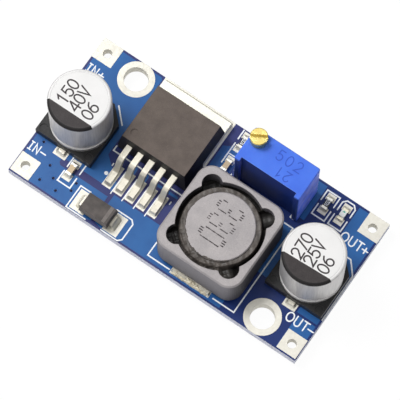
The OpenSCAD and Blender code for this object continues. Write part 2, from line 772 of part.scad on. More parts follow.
// The step that joins the middle lead to the plate
module tab_riser() {
    translate([reg_x - lead_w / 2, riser_y, land_z]) cube([lead_w, lead_t, lead_h - plating_t]);
}

module regulator_tab() {
    color("silver") {
        tab_plate();
        tab_riser();
        gull_lead(3);
    }
}

module regulator_lead(n) { color("silver") gull_lead(n); }

// ---- Multi-turn trimmer ----

// Housing with a chamber that opens downwards, and a blind bore for the screw beside it
module trimmer_housing() {
    body_h = trim_top - trim_foot;
    color("royalblue") {
        difference() {
            translate([trim_x0 + trim_w / 2, trim_y0 + trim_d / 2, trim_foot])
                soft_block(trim_w, trim_d, body_h, 0.25, trim_chamfer);
            translate([trim_x0 + rib_w, trim_y0 - cut, trim_foot - cut])
                cube([trim_w - 2 * rib_w, recess_d + cut, body_h + 2 * cut]);
            translate([chamber_x0, chamber_y0, trim_foot - cut])
                cube([chamber_x1 - chamber_x0, chamber_y1 - chamber_y0, chamber_z1 - trim_foot + cut]);
            translate([screw_x, screw_y, worm_low - run_gap])
                cylinder(h = trim_top - worm_low + run_gap + cut, r = screw_bore_r);
            translate([screw_x, screw_y, worm_low - spigot_l - 2 * run_gap])
                cylinder(h = spigot_l + 3 * run_gap, r = worm_root_r + run_gap);
        }
        translate([rotor_x, chamber_y1 + cut, rotor_z])
            rotate([90, 0, 0]) cylinder(h = chamber_y1 - hub_front - 0.25 + cut, r = pivot_r);
        for (x = [trim_x0 + 0.3, trim_x0 + trim_w - 1.1], y = [trim_y0 + recess_d + 0.1, trim_back - 0.9])
            translate([x, y, top_z]) cube([0.8, 0.6, trim_foot_h]);
    }
}

// Column i of n round the worm: its points from the foot to the top, four for each turn.
// The thread fades in over the first turn and out over the last.
function thread_rise(turn) = max(0, min(1, turn * 2, (worm_turns - 1 - turn) * 2));
function worm_column(i, n) =
    let (a = 360 * i / n, root = worm_root_r, low = worm_low)
    [
        [root * cos(a), root * sin(a), low],
        for (k = [0:worm_turns - 2])
            let (turn = k + i / n, crest = root + thread_depth * thread_rise(turn))
            for (q = [[0.12, root], [0.4, crest], [0.6, crest], [0.88, root]])
                [q[1] * cos(a), q[1] * sin(a), low + (turn + q[0]) * worm_pitch],
        [root * cos(a), root * sin(a), low + worm_l]
    ];

// Right-hand worm as one closed skin; where the columns meet, they join one turn apart
module worm(n = 16) {
    m = 4 * (worm_turns - 1) + 2;
    points = [for (i = [0:n - 1]) each worm_column(i, n)];
    between = [for (i = [0:n - 2], j = [0:m - 2])
        [i * m + j, i * m + j + 1, (i + 1) * m + j + 1, (i + 1) * m + j]];
    last = (n - 1) * m;
    seam = [for (j = [1:m - 6]) [last + j, last + j + 1, j + 5, j + 4]];
    foot_seam = [last, last + 1, 5, 4, 3, 2, 1, 0];
    top_seam = concat([m - 1], [for (j = [m - 5:m - 1]) last + j]);
    feet = [for (i = [0:n - 1]) i * m];
    tops = [for (i = [n - 1:-1:0]) i * m + m - 1];
    translate([screw_x, screw_y, 0])
        polyhedron(points, concat(between, seam, [foot_seam, top_seam, feet, tops]));
}

// Adjusting screw: spigot, worm, shank with a groove for the seal, and slotted head
module trimmer_screw() {
    worm_top = worm_low + worm_l - 0.05;
    groove_r = worm_r - seal_d;
    spigot_r = worm_root_r - 0.06;
    color("gold") {
        worm();
        difference() {
            translate([screw_x, screw_y, 0])
                rotate_extrude()
                    polygon([[0, worm_top], [worm_r, worm_top], [worm_r, seal_z - seal_d / 2],
                        [groove_r, seal_z - seal_d / 2], [groove_r, seal_z + seal_d / 2],
                        [worm_r, seal_z + seal_d / 2], [worm_r, head_z], [head_r, head_z],
                        [head_r, head_z + head_h - 0.1], [head_r - 0.1, head_z + head_h], [0, head_z + head_h]]);
            translate([screw_x, screw_y, head_z + head_h - slot_depth])
                rotate([0, 0, slot_turn])
                    translate([-2 * head_r, -slot_w / 2, 0]) cube([4 * head_r, slot_w, 2 * slot_depth]);
        }
        translate([screw_x, screw_y, worm_low - spigot_l]) cylinder(h = spigot_l + 0.3, r = spigot_r);
    }
}

module trimmer_seal() {
    color("black")
    translate([screw_x, screw_y, seal_z])
        rotate_extrude() translate([worm_r - seal_d / 2, 0]) circle(seal_d / 2, $fn = 24);
}

// One tooth of the wheel, and the gap after it, as points round the rim
function tooth(i) =
    let (a = 360 * i / wheel_teeth, step = 360 / wheel_teeth)
    [for (q = [[-0.26, wheel_root_r], [-0.11, wheel_tip_r], [0.11, wheel_tip_r], [0.26, wheel_root_r]])
        q[1] * [cos(a + q[0] * step), sin(a + q[0] * step)]];

// Rotor: toothed wheel on a hub with a blind bore. With an odd number of turns the worm
// has a crest level with the wheel's middle, so a gap faces it; otherwise a tooth does.
module trimmer_rotor() {
    color("whitesmoke")
    translate([rotor_x, 0, rotor_z])
        rotate([90, 0, 0])
            difference() {
                union() {
                    translate([0, 0, -screw_y - wheel_face / 2])
                        linear_extrude(wheel_face)
                            rotate(180 + (worm_turns % 2) * 180 / wheel_teeth)
                                polygon([for (i = [0:wheel_teeth - 1]) each tooth(i)]);
                    translate([0, 0, -hub_back]) cylinder(h = hub_back - hub_front, r = hub_r);
                }
                translate([0, 0, -hub_back - cut])
                    cylinder(h = hub_back - hub_front - 0.2 + cut, r = pivot_r + run_gap);
            }
}

// Wiper: a plate on the hub, with fingers that stand over the track and the collector
module trimmer_wiper() {
    reach = hub_front - wiper_t - track_back - 0.02;
    color("goldenrod")
    translate([rotor_x, hub_front, rotor_z])
        rotate([90, 0, 0]) {
            linear_extrude(wiper_t) {
                circle(hub_r - 0.1);
                translate([-0.3, 0]) square([0.6, track_r + track_w / 2]);
            }
            for (r = [track_r, 0.8], x = [-0.2, 0, 0.2])
                translate([x - 0.05, r - 0.1, wiper_t]) cube([0.1, 0.2, reach]);
        }
}

module trimmer_substrate() {
    color("white")
    translate([chamber_x0 + 0.05, chamber_y0, chamber_z0])
        cube([chamber_x1 - chamber_x0 - 0.1, substrate_t, chamber_z1 - chamber_z0 - 0.3]);
}

// Resistive arc, open at its foot, with the collector ring inside it
module trimmer_track() {
    gap = 360 - track_angle;
    far = 2 * track_r;
    color("black")
    translate([rotor_x, track_back, rotor_z])
        rotate([90, 0, 0])
            linear_extrude(track_t) {
                difference() {
                    circle(track_r + track_w / 2);
                    circle(track_r - track_w / 2);
                    polygon([[0, 0], far * [sin(gap / 2), -cos(gap / 2)], [0, -2 * far],
                        far * [-sin(gap / 2), -cos(gap / 2)]]);
                }
                difference() {
                    circle(1.05);
                    circle(0.55);
                }
            }
}

// Resin that closes the chamber from below, round the three pins
module trimmer_resin() {
    color("lightsteelblue")
    difference() {
        translate([chamber_x0, chamber_y0, trim_foot])
            cube([chamber_x1 - chamber_x0, chamber_y1 - chamber_y0, resin_t]);
        for (p = pin_spots) translate([p[0], p[1], trim_foot - cut]) cylinder(h = resin_t + 2 * cut, r = pin_r);
    }
}

module trimmer_pin(n) {
    p = pin_spots[n - 1];
    color("silver") translate([p[0], p[1], -pin_out]) cylinder(h = pin_top + pin_out, r = pin_r);
}

// ---- Diode ----

// Path of a lead: out of the body's end, down, and back under the body
diode_path = [
    [-0.5, diode_mid_z - land_z],
    [diode_lead_out - diode_lead_t / 2, diode_mid_z - land_z],
    [diode_lead_out - diode_lead_t / 2, diode_lead_t / 2],
    [-0.8, diode_lead_t / 2]
];

module diode_lead(s) {
    translate([diode_x + s * diode_l / 2, diode_y, land_z])
        rotate([0, 0, 90 - s * 90]) bent_strip(diode_path, diode_lead_t, diode_lead_t, diode_lead_w);
}

module diode_body() {
    foot = diode_lead_t;
    mid = diode_mid_z - land_z;
    color("dimgray")
    difference() {
        translate([diode_x, diode_y, land_z]) {
            translate([0, 0, mid]) leaning_block(diode_l, diode_w, diode_h - plating_t - mid, diode_draft);
            translate([0, 0, mid]) mirror([0, 0, 1]) leaning_block(diode_l, diode_w, mid - foot, diode_draft);
        }
        diode_lead(-1);
        diode_lead(1);
    }
}

module diode_cathode_lead() { color("silver") diode_lead(1); }
module diode_anode_lead() { color("silver") diode_lead(-1); }

// ---- Chip parts ----

// The ceramic of a chip part; the metal that wraps each of its ends follows it
module chip_core(p, h) {
    translate([p[0] - chip_w / 2 + cap_metal_t, p[1] - chip_l / 2 + cap_metal_t, land_z + cap_metal_t])
        cube([chip_w - 2 * cap_metal_t, chip_l - 2 * cap_metal_t, h - 2 * cap_metal_t]);
}

module chip_ends(p, h) {
    difference() {
        for (s = [-1, 1])
            translate([p[0] - chip_w / 2, p[1] + s * (chip_l - cap_metal_l) / 2 - cap_metal_l / 2, land_z])
                cube([chip_w, cap_metal_l, h]);
        chip_core(p, h);
    }
}

module input_chip_capacitor() { color("burlywood") chip_core(input_chip, chip_cap_h); }
module input_chip_capacitor_ends() { color("silver") chip_ends(input_chip, chip_cap_h); }
module feedback_chip_capacitor() { color("burlywood") chip_core(feedback_chip, chip_cap_h); }
module feedback_chip_capacitor_ends() { color("silver") chip_ends(feedback_chip, chip_cap_h); }
module feedback_resistor() { color("darkslategray") chip_core(feedback_res, chip_res_h); }
module feedback_resistor_ends() { color("silver") chip_ends(feedback_res, chip_res_h); }
module lamp_resistor() { color("darkslategray") chip_core(lamp_res, chip_res_h); }
module lamp_resistor_ends() { color("silver") chip_ends(lamp_res, chip_res_h); }

// The lamp: a flat base with plated ends, and a clear lens moulded on it
module lamp_base() { color("white") chip_core(lamp, lamp_base_t); }
module lamp_ends() { color("gold") chip_ends(lamp, lamp_base_t); }
module lamp_lens() {
    l = chip_l - 2 * cap_metal_l;
    color("whitesmoke")
    translate([lamp[0], lamp[1], land_z + lamp_base_t - cap_metal_t])
        rotate([90, 0, 90])
            translate([0, 0, 0.02 - chip_w / 2])
                linear_extrude(chip_w - 0.04)
                    polygon([[-l / 2, 0], [l / 2, 0], [l / 2 - 0.08, lens_h], [0.08 - l / 2, lens_h]]);
}

board();
wire_pads();
mounting_rings();
component_lands();
solder_fillets();
pin_solder();
input_capacitor_can();
input_capacitor_base();
input_capacitor_minus_lead();
input_capacitor_plus_lead();
output_capacitor_can();
output_capacitor_base();
output_capacitor_minus_lead();
output_capacitor_plus_lead();
inductor_shield();
inductor_core();
inductor_winding();
inductor_glue();
inductor_front_terminal();
inductor_back_terminal();
regulator_body();
regulator_tab();
regulator_lead(1);  // regulator_lead_1
regulator_lead(2);  // regulator_lead_2
regulator_lead(4);  // regulator_lead_4
regulator_lead(5);  // regulator_lead_5
trimmer_housing();
trimmer_screw();
trimmer_seal();
trimmer_rotor();
trimmer_wiper();
trimmer_substrate();
trimmer_track();
trimmer_resin();
trimmer_pin(1);  // trimmer_pin_1
trimmer_pin(2);  // trimmer_pin_2
trimmer_pin(3);  // trimmer_pin_3
diode_body();
diode_cathode_lead();
diode_anode_lead();
input_chip_capacitor();
input_chip_capacitor_ends();
feedback_chip_capacitor();
feedback_chip_capacitor_ends();
feedback_resistor();
feedback_resistor_ends();
lamp_resistor();
lamp_resistor_ends();
lamp_base();
lamp_lens();
lamp_ends();
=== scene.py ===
"""Looks of the step-down converter module, laid over its solid model.

Lengths are in millimetres until a mesh is made, and the frame is the solid model's own:
+X from the input end to the output end, +Y to the back edge, +Z up, board's underside at 0.
"""

import json
import math

import bpy
import numpy as np
from mathutils import Matrix, Vector


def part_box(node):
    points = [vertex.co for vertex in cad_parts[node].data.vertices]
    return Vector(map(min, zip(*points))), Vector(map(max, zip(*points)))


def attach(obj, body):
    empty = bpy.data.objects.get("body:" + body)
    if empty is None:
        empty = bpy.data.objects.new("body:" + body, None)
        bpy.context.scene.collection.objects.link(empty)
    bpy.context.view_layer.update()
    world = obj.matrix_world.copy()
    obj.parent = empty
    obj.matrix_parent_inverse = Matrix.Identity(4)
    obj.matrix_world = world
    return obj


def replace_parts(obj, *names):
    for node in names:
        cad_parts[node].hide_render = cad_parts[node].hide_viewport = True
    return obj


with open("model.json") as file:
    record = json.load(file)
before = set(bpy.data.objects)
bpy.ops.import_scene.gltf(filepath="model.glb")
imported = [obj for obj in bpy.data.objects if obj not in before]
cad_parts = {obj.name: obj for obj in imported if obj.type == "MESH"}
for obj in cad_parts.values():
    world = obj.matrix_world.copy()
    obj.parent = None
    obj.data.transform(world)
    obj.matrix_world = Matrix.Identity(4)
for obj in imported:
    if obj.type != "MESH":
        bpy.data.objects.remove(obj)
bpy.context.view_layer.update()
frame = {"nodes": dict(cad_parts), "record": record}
nodes = frame["nodes"]
slot_of = {s["node"]: s["material_slot"] for s in frame["record"]["subparts"]}
MM = 0.001


def span(name):
    """Lowest and highest corner of a solid, in millimetres."""
    low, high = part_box(name)
    return np.array(low) / MM, np.array(high) / MM


def middle(name):
    """Centre of a solid's box, in millimetres."""
    low, high = span(name)
    return (low + high) / 2


# ---- Where the parts stand ----

BOARD_LOW, BOARD_HIGH = span("board")
TOP = BOARD_HIGH[2]
LAND = span("component_lands")[1][2]
SHIELD_LOW, SHIELD_HIGH = span("inductor_shield")
IN_CAN = middle("input_capacitor_can")
OUT_CAN = middle("output_capacitor_can")
CAN_TOP = span("output_capacitor_can")[1][2]
CAN_R = (span("output_capacitor_can")[1][0] - span("output_capacitor_can")[0][0]) / 2
CORE = middle("inductor_core")
CORE_TOP = span("inductor_core")[1][2]
REG_LOW, REG_HIGH = span("regulator_body")
TAB_LOW, TAB_HIGH = span("regulator_tab")
TRIM_LOW, TRIM_HIGH = span("trimmer_housing")
DIODE = middle("diode_body")
RING_LOW, RING_HIGH = span("mounting_rings")
RING_R = 2.4
HOLE_EDGE_GAP = 2.35
HOLES = [
    (RING_LOW[0] + RING_R, min(RING_HIGH[1], BOARD_HIGH[1]) - HOLE_EDGE_GAP),
    (RING_HIGH[0] - RING_R, BOARD_LOW[1] + HOLE_EDGE_GAP),
]
PAD_LOW, PAD_HIGH = span("wire_pads")
WIRE_END_GAP = 1.5
WIRE_EDGE_GAP = 1.6
WIRE_ROWS = (PAD_LOW[1] + WIRE_EDGE_GAP, PAD_HIGH[1] - WIRE_EDGE_GAP)
WIRE_SPOTS = [(x, y) for x in (PAD_LOW[0] + WIRE_END_GAP, PAD_HIGH[0] - WIRE_END_GAP) for y in WIRE_ROWS]
VIA_SPOTS = BOARD_LOW[:2] + np.array(
    [[1.6, 5.45], [4, 3.4], [5.3, 2.25], [8.05, 3.35], [8.05, 2.2], [4, 1.15], [6.45, 1.1]]
)
PINS = [middle("trimmer_pin_%d" % n)[:2] for n in (1, 2, 3)]
CHIPS = {n: middle(n) for n in ("input_chip_capacitor", "feedback_resistor", "lamp_resistor", "lamp_base")}


# ---- Camera, lights and stage ----


def aim(azimuth, elevation, roll):
    """Right, up and back vectors of a camera that looks at the part from these angles, in degrees."""
    a, e, r = map(math.radians, (azimuth, elevation, roll))
    back = np.array([math.sin(a) * math.cos(e), -math.cos(a) * math.cos(e), math.sin(e)])
    right = np.cross(-back, [0, 0, 1])
    right /= np.linalg.norm(right)
    up = np.cross(right, -back)
    return math.cos(r) * right + math.sin(r) * up, math.cos(r) * up - math.sin(r) * right, back


def add_camera():
    """Long-lens camera high over the front right corner."""
    azimuth, elevation, roll, distance = 33.682, 74.078, 0.889, 400
    right, up, back = aim(azimuth, elevation, roll)
    data = bpy.data.cameras.new("camera")
    data.sensor_width = 36
    data.lens = 288.9
    data.shift_x = 0.0034
    data.shift_y = -0.0076
    data.clip_start = 0.01
    camera = bpy.data.objects.new("camera", data)
    place = np.array([0, 0, TOP]) + distance * back
    m = np.eye(4)
    m[:3, 0], m[:3, 1], m[:3, 2], m[:3, 3] = right, up, back, place * MM
    camera.matrix_world = Matrix(m.tolist())
    bpy.context.scene.collection.objects.link(camera)
    bpy.context.scene.camera = camera


def add_light(name, place, size, power):
    """Square soft light at place, in millimetres, that faces the part."""
    data = bpy.data.lights.new(name, "AREA")
    data.shape = "SQUARE"
    data.size = size * MM
    data.energy = power
    lamp = bpy.data.objects.new(name, data)
    direction = -Vector(place)
    lamp.rotation_euler = direction.to_track_quat("-Z", "Y").to_euler()
    lamp.location = Vector(place) * MM
    bpy.context.scene.collection.objects.link(lamp)


def add_world():
    """White to the camera. To everything else, a bright ceiling over darker walls."""
    world = bpy.data.worlds.new("studio")
    bpy.context.scene.world = world
    world.use_nodes = True
    tree = world.node_tree
    tree.nodes.clear()
    new, link = tree.nodes.new, tree.links.new
    out = new("ShaderNodeOutputWorld")
    mix = new("ShaderNodeMixShader")
    path = new("ShaderNodeLightPath")
    white = new("ShaderNodeBackground")
    white.inputs["Color"].default_value = (1, 1, 1, 1)
    white.inputs["Strength"].default_value = 1.0
    room = new("ShaderNodeBackground")
    coord = new("ShaderNodeTexCoord")

    def rising(low, high, start, end, lean):
        """Grey that climbs from low to high as the direction looked in nears the leaning zenith."""
        height = new("ShaderNodeVectorMath")
        height.operation = "DOT_PRODUCT"
        link(coord.outputs["Generated"], height.inputs[0])
        height.inputs[1].default_value = Vector(lean).normalized()
        ramp = new("ShaderNodeValToRGB")
        ramp.color_ramp.interpolation = "EASE"
        ramp.color_ramp.elements[0].position = start
        ramp.color_ramp.elements[0].color = (low, low, low * 1.02, 1)
        ramp.color_ramp.elements[1].position = end
        ramp.color_ramp.elements[1].color = (high, high, high, 1)
        link(height.outputs["Value"], ramp.inputs[0])
        return ramp.outputs[0]

    soft = new("ShaderNodeBackground")
    link(rising(0.01, 1.0, 0.30, 0.98, (-0.45, -0.2, 1.0)), soft.inputs["Color"])
    soft.inputs["Strength"].default_value = 1.0
    link(rising(0.10, 0.92, 0.02, 0.7, (-0.3, -0.2, 1.0)), room.inputs["Color"])
    room.inputs["Strength"].default_value = 1.0
    shiny = new("ShaderNodeMixShader")
    link(path.outputs["Is Glossy Ray"], shiny.inputs[0])
    link(soft.outputs[0], shiny.inputs[1])
    link(room.outputs[0], shiny.inputs[2])
    seen = new("ShaderNodeMath")
    seen.operation = "MAXIMUM"
    link(path.outputs["Is Camera Ray"], seen.inputs[0])
    link(path.outputs["Is Transmission Ray"], seen.inputs[1])
    link(seen.outputs[0], mix.inputs[0])
    link(shiny.outputs[0], mix.inputs[1])
    link(white.outputs[0], mix.inputs[2])
    link(mix.outputs[0], out.inputs["Surface"])


# ---- Materials ----


def srgb(r, g, b):
    """Linear colour of an 8-bit display colour."""
    c = np.array([r, g, b]) / 255
    return tuple(np.where(c <= 0.04045, c / 12.92, ((c + 0.055) / 1.055) ** 2.4)) + (1.0,)


class Look:
    """A node-built material. Its patterns run on the part's own coordinates, in millimetres."""

    def __init__(self, name):
        self.material = bpy.data.materials.new(name)
        self.material.use_nodes = True
        self.tree = self.material.node_tree
        self.tree.nodes.clear()
        self.out = self.add("ShaderNodeOutputMaterial")
        self.shader = self.add("ShaderNodeBsdfPrincipled")
        self.tree.links.new(self.shader.outputs[0], self.out.inputs["Surface"])
        coord = self.add("ShaderNodeTexCoord")
        self.place = self.vector("SCALE", coord.outputs["Object"], scale=1 / MM)
        self.height = None

    def add(self, kind, **values):
        """A node, with its sockets given by name or number as constants or links."""
        node = self.tree.nodes.new(kind)
        return self.fill(node, values)

    def fill(self, node, values):
        """Sets sockets by name, with underscores for spaces, or by number after one underscore."""
        for key, value in values.items():
            socket = node.inputs[int(key[1:]) if key[0] == "_" else key.replace("_", " ")]
            if isinstance(value, bpy.types.NodeSocket):
                self.tree.links.new(value, socket)
            else:
                socket.default_value = value
        return node

    def vector(self, operation, a, b=None, scale=None):
        node = self.tree.nodes.new("ShaderNodeVectorMath")
        node.operation = operation
        self.fill(node, {"_0": a})
        if b is not None:
            self.fill(node, {"_1": b})
        if scale is not None:
            node.inputs["Scale"].default_value = scale
        return node.outputs[0]

    def math(self, operation, a, b=0.0, c=0.0, clamp=False):
        node = self.tree.nodes.new("ShaderNodeMath")
        node.operation = operation
        node.use_clamp = clamp
        return self.fill(node, {"_0": a, "_1": b, "_2": c}).outputs[0]

    def axis(self, letter):
        """One coordinate of the place, in millimetres."""
        return self.add("ShaderNodeSeparateXYZ", _0=self.place).outputs[letter]

    def noise(self, size, detail=4.0, rough=0.55, stretch=(1, 1, 1), shift=(0, 0, 0)):
        """Cloudy noise from 0 to 1 whose features are about size millimetres across."""
        node = self.tree.nodes.new("ShaderNodeTexNoise")
        v = self.vector("MULTIPLY", self.place, tuple(s / size for s in stretch))
        v = self.vector("ADD", v, shift)
        return self.fill(node, {"Vector": v, "Scale": 1.0, "Detail": detail, "Roughness": rough}).outputs[0]

    def cells(self, size):
        """Distance to the nearest of scattered points, about size millimetres apart."""
        node = self.tree.nodes.new("ShaderNodeTexVoronoi")
        v = self.vector("MULTIPLY", self.place, (1 / size,) * 3)
        return self.fill(node, {"Vector": v, "Scale": 1.0}).outputs["Distance"]

    def band(self, value, low, high, to_low=0.0, to_high=1.0):
        """value taken from low..high to to_low..to_high, and held at the ends."""
        node = self.tree.nodes.new("ShaderNodeMapRange")
        return self.fill(
            node,
            {"Value": value, "From_Min": low, "From_Max": high, "To_Min": to_low, "To_Max": to_high},
        ).outputs[0]

    def mix(self, share, a, b, blend="MIX"):
        """Colour a where share is 0 and b where it is 1."""
        node = self.tree.nodes.new("ShaderNodeMix")
        node.data_type = "RGBA"
        node.blend_type = blend
        return self.fill(node, {"_0": share, "_6": a, "_7": b}).outputs[2]

    def facing(self, letter):
        """One component of the surface's true normal."""
        node = self.add("ShaderNodeNewGeometry")
        return self.add("ShaderNodeSeparateXYZ", _0=node.outputs["True Normal"]).outputs[letter]

    def edges(self, radius):
        """1 along sharp edges, 0 on flat faces: how far the bevelled normal leans from the true one."""
        bevel = self.tree.nodes.new("ShaderNodeBevel")
        bevel.samples = 6
        bevel.inputs["Radius"].default_value = radius * MM
        normal = self.add("ShaderNodeNewGeometry").outputs["True Normal"]
        dot = self.tree.nodes.new("ShaderNodeVectorMath")
        dot.operation = "DOT_PRODUCT"
        self.fill(dot, {"_0": bevel.outputs[0], "_1": normal})
        return self.band(dot.outputs["Value"], 0.995, 0.80)

    def relief(self, height, depth):
        """Adds height, from 0 to 1, as a bump depth millimetres deep."""
        part = self.math("MULTIPLY", height, depth)
        self.height = part if self.height is None else self.math("ADD", self.height, part)

    def done(self, color, rough, metal=0.0, round_edge=0.0, **more):
        """Closes the material and gives it back."""
        self.fill(self.shader, {"Base_Color": color, "Roughness": rough, "Metallic": metal, **more})
        normal = None
        if round_edge:
            bevel = self.tree.nodes.new("ShaderNodeBevel")
            bevel.samples = 4
            bevel.inputs["Radius"].default_value = round_edge * MM
            normal = bevel.outputs[0]
        if self.height is not None:
            bump = self.tree.nodes.new("ShaderNodeBump")
            bump.inputs["Distance"].default_value = MM
            self.fill(bump, {"Height": self.height})
            if normal is not None:
                self.tree.links.new(normal, bump.inputs["Normal"])
            normal = bump.outputs[0]
        if normal is not None:
            self.tree.links.new(normal, self.shader.inputs["Normal"])
        return self.material


def metal(name, light, dark, rough, grain, bump, round_edge, metallic=1.0):
    """Plated or tinned metal: soft clouds, fine grain, and a duller film in patches."""
    k = Look(name)
    cloud = k.noise(grain * 3, detail=5)
    fine = k.noise(grain * 0.25, detail=3, shift=(3, 7, 1))
    share = k.band(k.math("ADD", k.math("MULTIPLY", cloud, 0.7), k.math("MULTIPLY", fine, 0.3)), 0.35, 0.7)
    k.relief(cloud, bump)
    k.relief(fine, bump * 0.5)
    return k.done(k.mix(share, light, dark), k.band(fine, 0.2, 0.8, rough * 0.75, rough * 1.3), metallic,
        round_edge)


def plastic(name, light, dark, rough, grain, bump, round_edge, wear=0.0, gloss=0.25):
    """Moulded plastic or compound: cloudy tone, fine texture, paler along its edges."""
    k = Look(name)
    cloud = k.noise(grain * 4, detail=4)
    fine = k.noise(grain * 0.3, detail=4, rough=0.7, shift=(5, 2, 9))
    color = k.mix(k.band(cloud, 0.3, 0.7), light, dark)
    if wear:
        worn = k.math("MULTIPLY", k.edges(round_edge * 1.2), wear)
        color = k.mix(worn, color, tuple(min(1, 1.9 * c + 0.03) for c in light[:3]) + (1,))
    k.relief(cloud, bump * 0.6)
    k.relief(fine, bump)
    rough = k.band(fine, 0.25, 0.75, rough * 0.85, rough * 1.15)
    return k.done(color, rough, 0.0, round_edge, Specular_IOR_Level=gloss)


def board_look():
    """Lacquered glass laminate: blue lacquer on both faces, pale woven edges with a rough routed grain."""
    k = Look("solder_mask")
    z = k.axis("Z")
    up = k.math("ABSOLUTE", k.facing("Z"))
    weave = k.noise(0.35, detail=3, stretch=(1, 1, 0.15))
    cloud = k.noise(5, detail=4)
    mask = k.mix(k.band(cloud, 0.3, 0.7), srgb(50, 50, 106), srgb(38, 56, 118))
    # Painted shade: the lacquer turns a darker navy from the board's middle towards the output end.
    mask = k.mix(k.band(k.axis("X"), 0.0, 9.0), mask, srgb(16, 44, 108))
    plies = k.math("SINE", k.math("MULTIPLY", z, 2 * math.pi / 0.2))
    fibre = k.noise(0.12, detail=4, stretch=(0.25, 0.25, 3.0))
    share = k.band(k.math("ADD", k.math("MULTIPLY", plies, 0.25), fibre), 0.1, 0.9)
    core = k.mix(share, srgb(230, 232, 244), srgb(206, 209, 228))
    flat = k.band(up, 0.4, 0.6)
    k.relief(k.math("MULTIPLY", weave, flat), 0.004)
    k.relief(k.math("MULTIPLY", fibre, k.math("SUBTRACT", 1.0, flat)), 0.03)
    return k.done(
        k.mix(flat, core, mask), k.band(flat, 0, 1, 0.75, 0.35), 0.0, 0.05, Specular_IOR_Level=0.25
    )


def pour_look():
    """Lacquer over copper: brighter than over bare laminate, with the copper's faint brushed grain."""
    k = Look("mask_over_copper")
    cloud = k.noise(4, detail=4)
    brushed = k.noise(0.5, detail=3, stretch=(0.3, 2, 1))
    color = k.mix(k.band(cloud, 0.3, 0.7), srgb(38, 100, 166), srgb(30, 88, 154))
    k.relief(brushed, 0.003)
    return k.done(color, k.band(brushed, 0.2, 0.8, 0.28, 0.42), 0.0, 0.0, Specular_IOR_Level=0.25)


def can_look():
    """Drawn aluminium can: fine upright lines on the wall, and a smooth pale film on its top."""
    k = Look("can_aluminium")
    top = k.band(k.facing("Z"), 0.6, 0.95)
    lines = k.noise(0.3, detail=3, stretch=(1.5, 1.5, 0.08))
    cloud = k.noise(2.5, detail=4)
    wall = k.mix(k.band(lines, 0.3, 0.7), srgb(210, 208, 207), srgb(188, 186, 186))
    film = k.mix(k.band(cloud, 0.3, 0.7), srgb(236, 235, 234), srgb(230, 229, 228))
    k.relief(k.math("MULTIPLY", lines, k.math("SUBTRACT", 1.0, top)), 0.006)
    k.relief(cloud, 0.01)
    return k.done(
        k.mix(top, wall, film), k.band(top, 0, 1, 0.46, 0.6), k.band(top, 0, 1, 0.62, 0.0), 0.04
    )


def ferrite_look():
    """Grey lacquer over ground ferrite: pits, pale grains and chipped edges, with painted shade on its walls.
    """
    k = Look("ferrite")
    cloud = k.noise(2.2, detail=5)
    grain = k.noise(0.16, detail=3, rough=0.7)
    pits = k.band(k.cells(0.55), 0.03, 0.14, 1.0, 0.0)
    color = k.mix(k.band(cloud, 0.3, 0.7), srgb(178, 172, 172), srgb(160, 155, 156))
    color = k.mix(k.math("MULTIPLY", k.band(grain, 0.55, 0.8), 0.6), color, srgb(208, 203, 203))
    color = k.mix(k.band(grain, 0.45, 0.2, 0.0, 0.6), color, srgb(128, 123, 124))
    color = k.mix(k.math("MULTIPLY", pits, 0.45), color, srgb(118, 112, 114))
    top = k.band(k.facing("Z"), 0.3, 0.9)
    # Painted shade: the walls are painted darker than the top and darker still towards the foot. The two end
    # walls that face along X are painted nearly black.
    low = k.band(k.axis("Z"), float(SHIELD_LOW[2]), float(SHIELD_HIGH[2]), 0.35, 0.75)
    side = k.mix(low, srgb(58, 56, 60), srgb(138, 134, 140))
    shade = k.band(k.math("ABSOLUTE", k.facing("X")), 0.5, 0.95)
    side = k.mix(shade, side, srgb(46, 44, 48))
    k.relief(grain, 0.02)
    k.relief(k.math("SUBTRACT", 1.0, pits), 0.015)
    return k.done(k.mix(top, side, color), k.band(grain, 0.2, 0.8, 0.5, 0.7), 0.0, 0.12)


def moulding_look():
    """Moulding compound: mottled and finely grained on top, with painted shade that makes its walls near
    black, the wall over the leads among them.
    """
    k = Look("moulding_compound")
    cloud = k.noise(1.5, detail=5, rough=0.6)
    grain = k.noise(0.12, detail=3, rough=0.7, shift=(5, 2, 9))
    color = k.mix(k.band(cloud, 0.3, 0.7), srgb(103, 92, 85), srgb(88, 78, 72))
    color = k.mix(k.band(grain, 0.55, 0.8, 0.0, 0.4), color, srgb(132, 122, 110))
    color = k.mix(k.band(grain, 0.45, 0.2, 0.0, 0.4), color, srgb(58, 52, 48))
    color = k.mix(k.math("MULTIPLY", k.edges(0.1), 0.25), color, srgb(128, 118, 108))
    # Painted shade: every wall is painted near black against the top.
    wall = k.band(k.facing("Z"), 0.85, 0.5)
    color = k.mix(wall, color, srgb(34, 31, 31))
    k.relief(cloud, 0.008)
    k.relief(grain, 0.016)
    return k.done(color, k.band(grain, 0.2, 0.8, 0.44, 0.6), 0.0, 0.08, Specular_IOR_Level=0.25)


def glue_look():
    """Dark glue: grey-brown where it lies high beside the core, with painted shade that makes it black
    in the trough, streaked round the core."""
    k = Look("dark_glue")
    # Painted shade: the glue is painted black where it lies a millimetre or more below the core's top, and
    # turns grey-brown by 0.3 mm below it.
    low = k.band(k.axis("Z"), float(CORE_TOP - 1.0), float(CORE_TOP - 0.3))
    cloud = k.noise(0.9, detail=5, rough=0.6)
    fine = k.noise(0.2, detail=3, shift=(4, 4, 2))
    high_tone = k.mix(k.band(cloud, 0.35, 0.65), srgb(98, 91, 86), srgb(66, 61, 57))
    color = k.mix(low, srgb(26, 24, 23), high_tone)
    k.relief(cloud, 0.05)
    k.relief(fine, 0.01)
    return k.done(color, k.band(fine, 0.2, 0.8, 0.36, 0.5), 0.0, 0.0, Specular_IOR_Level=0.35)


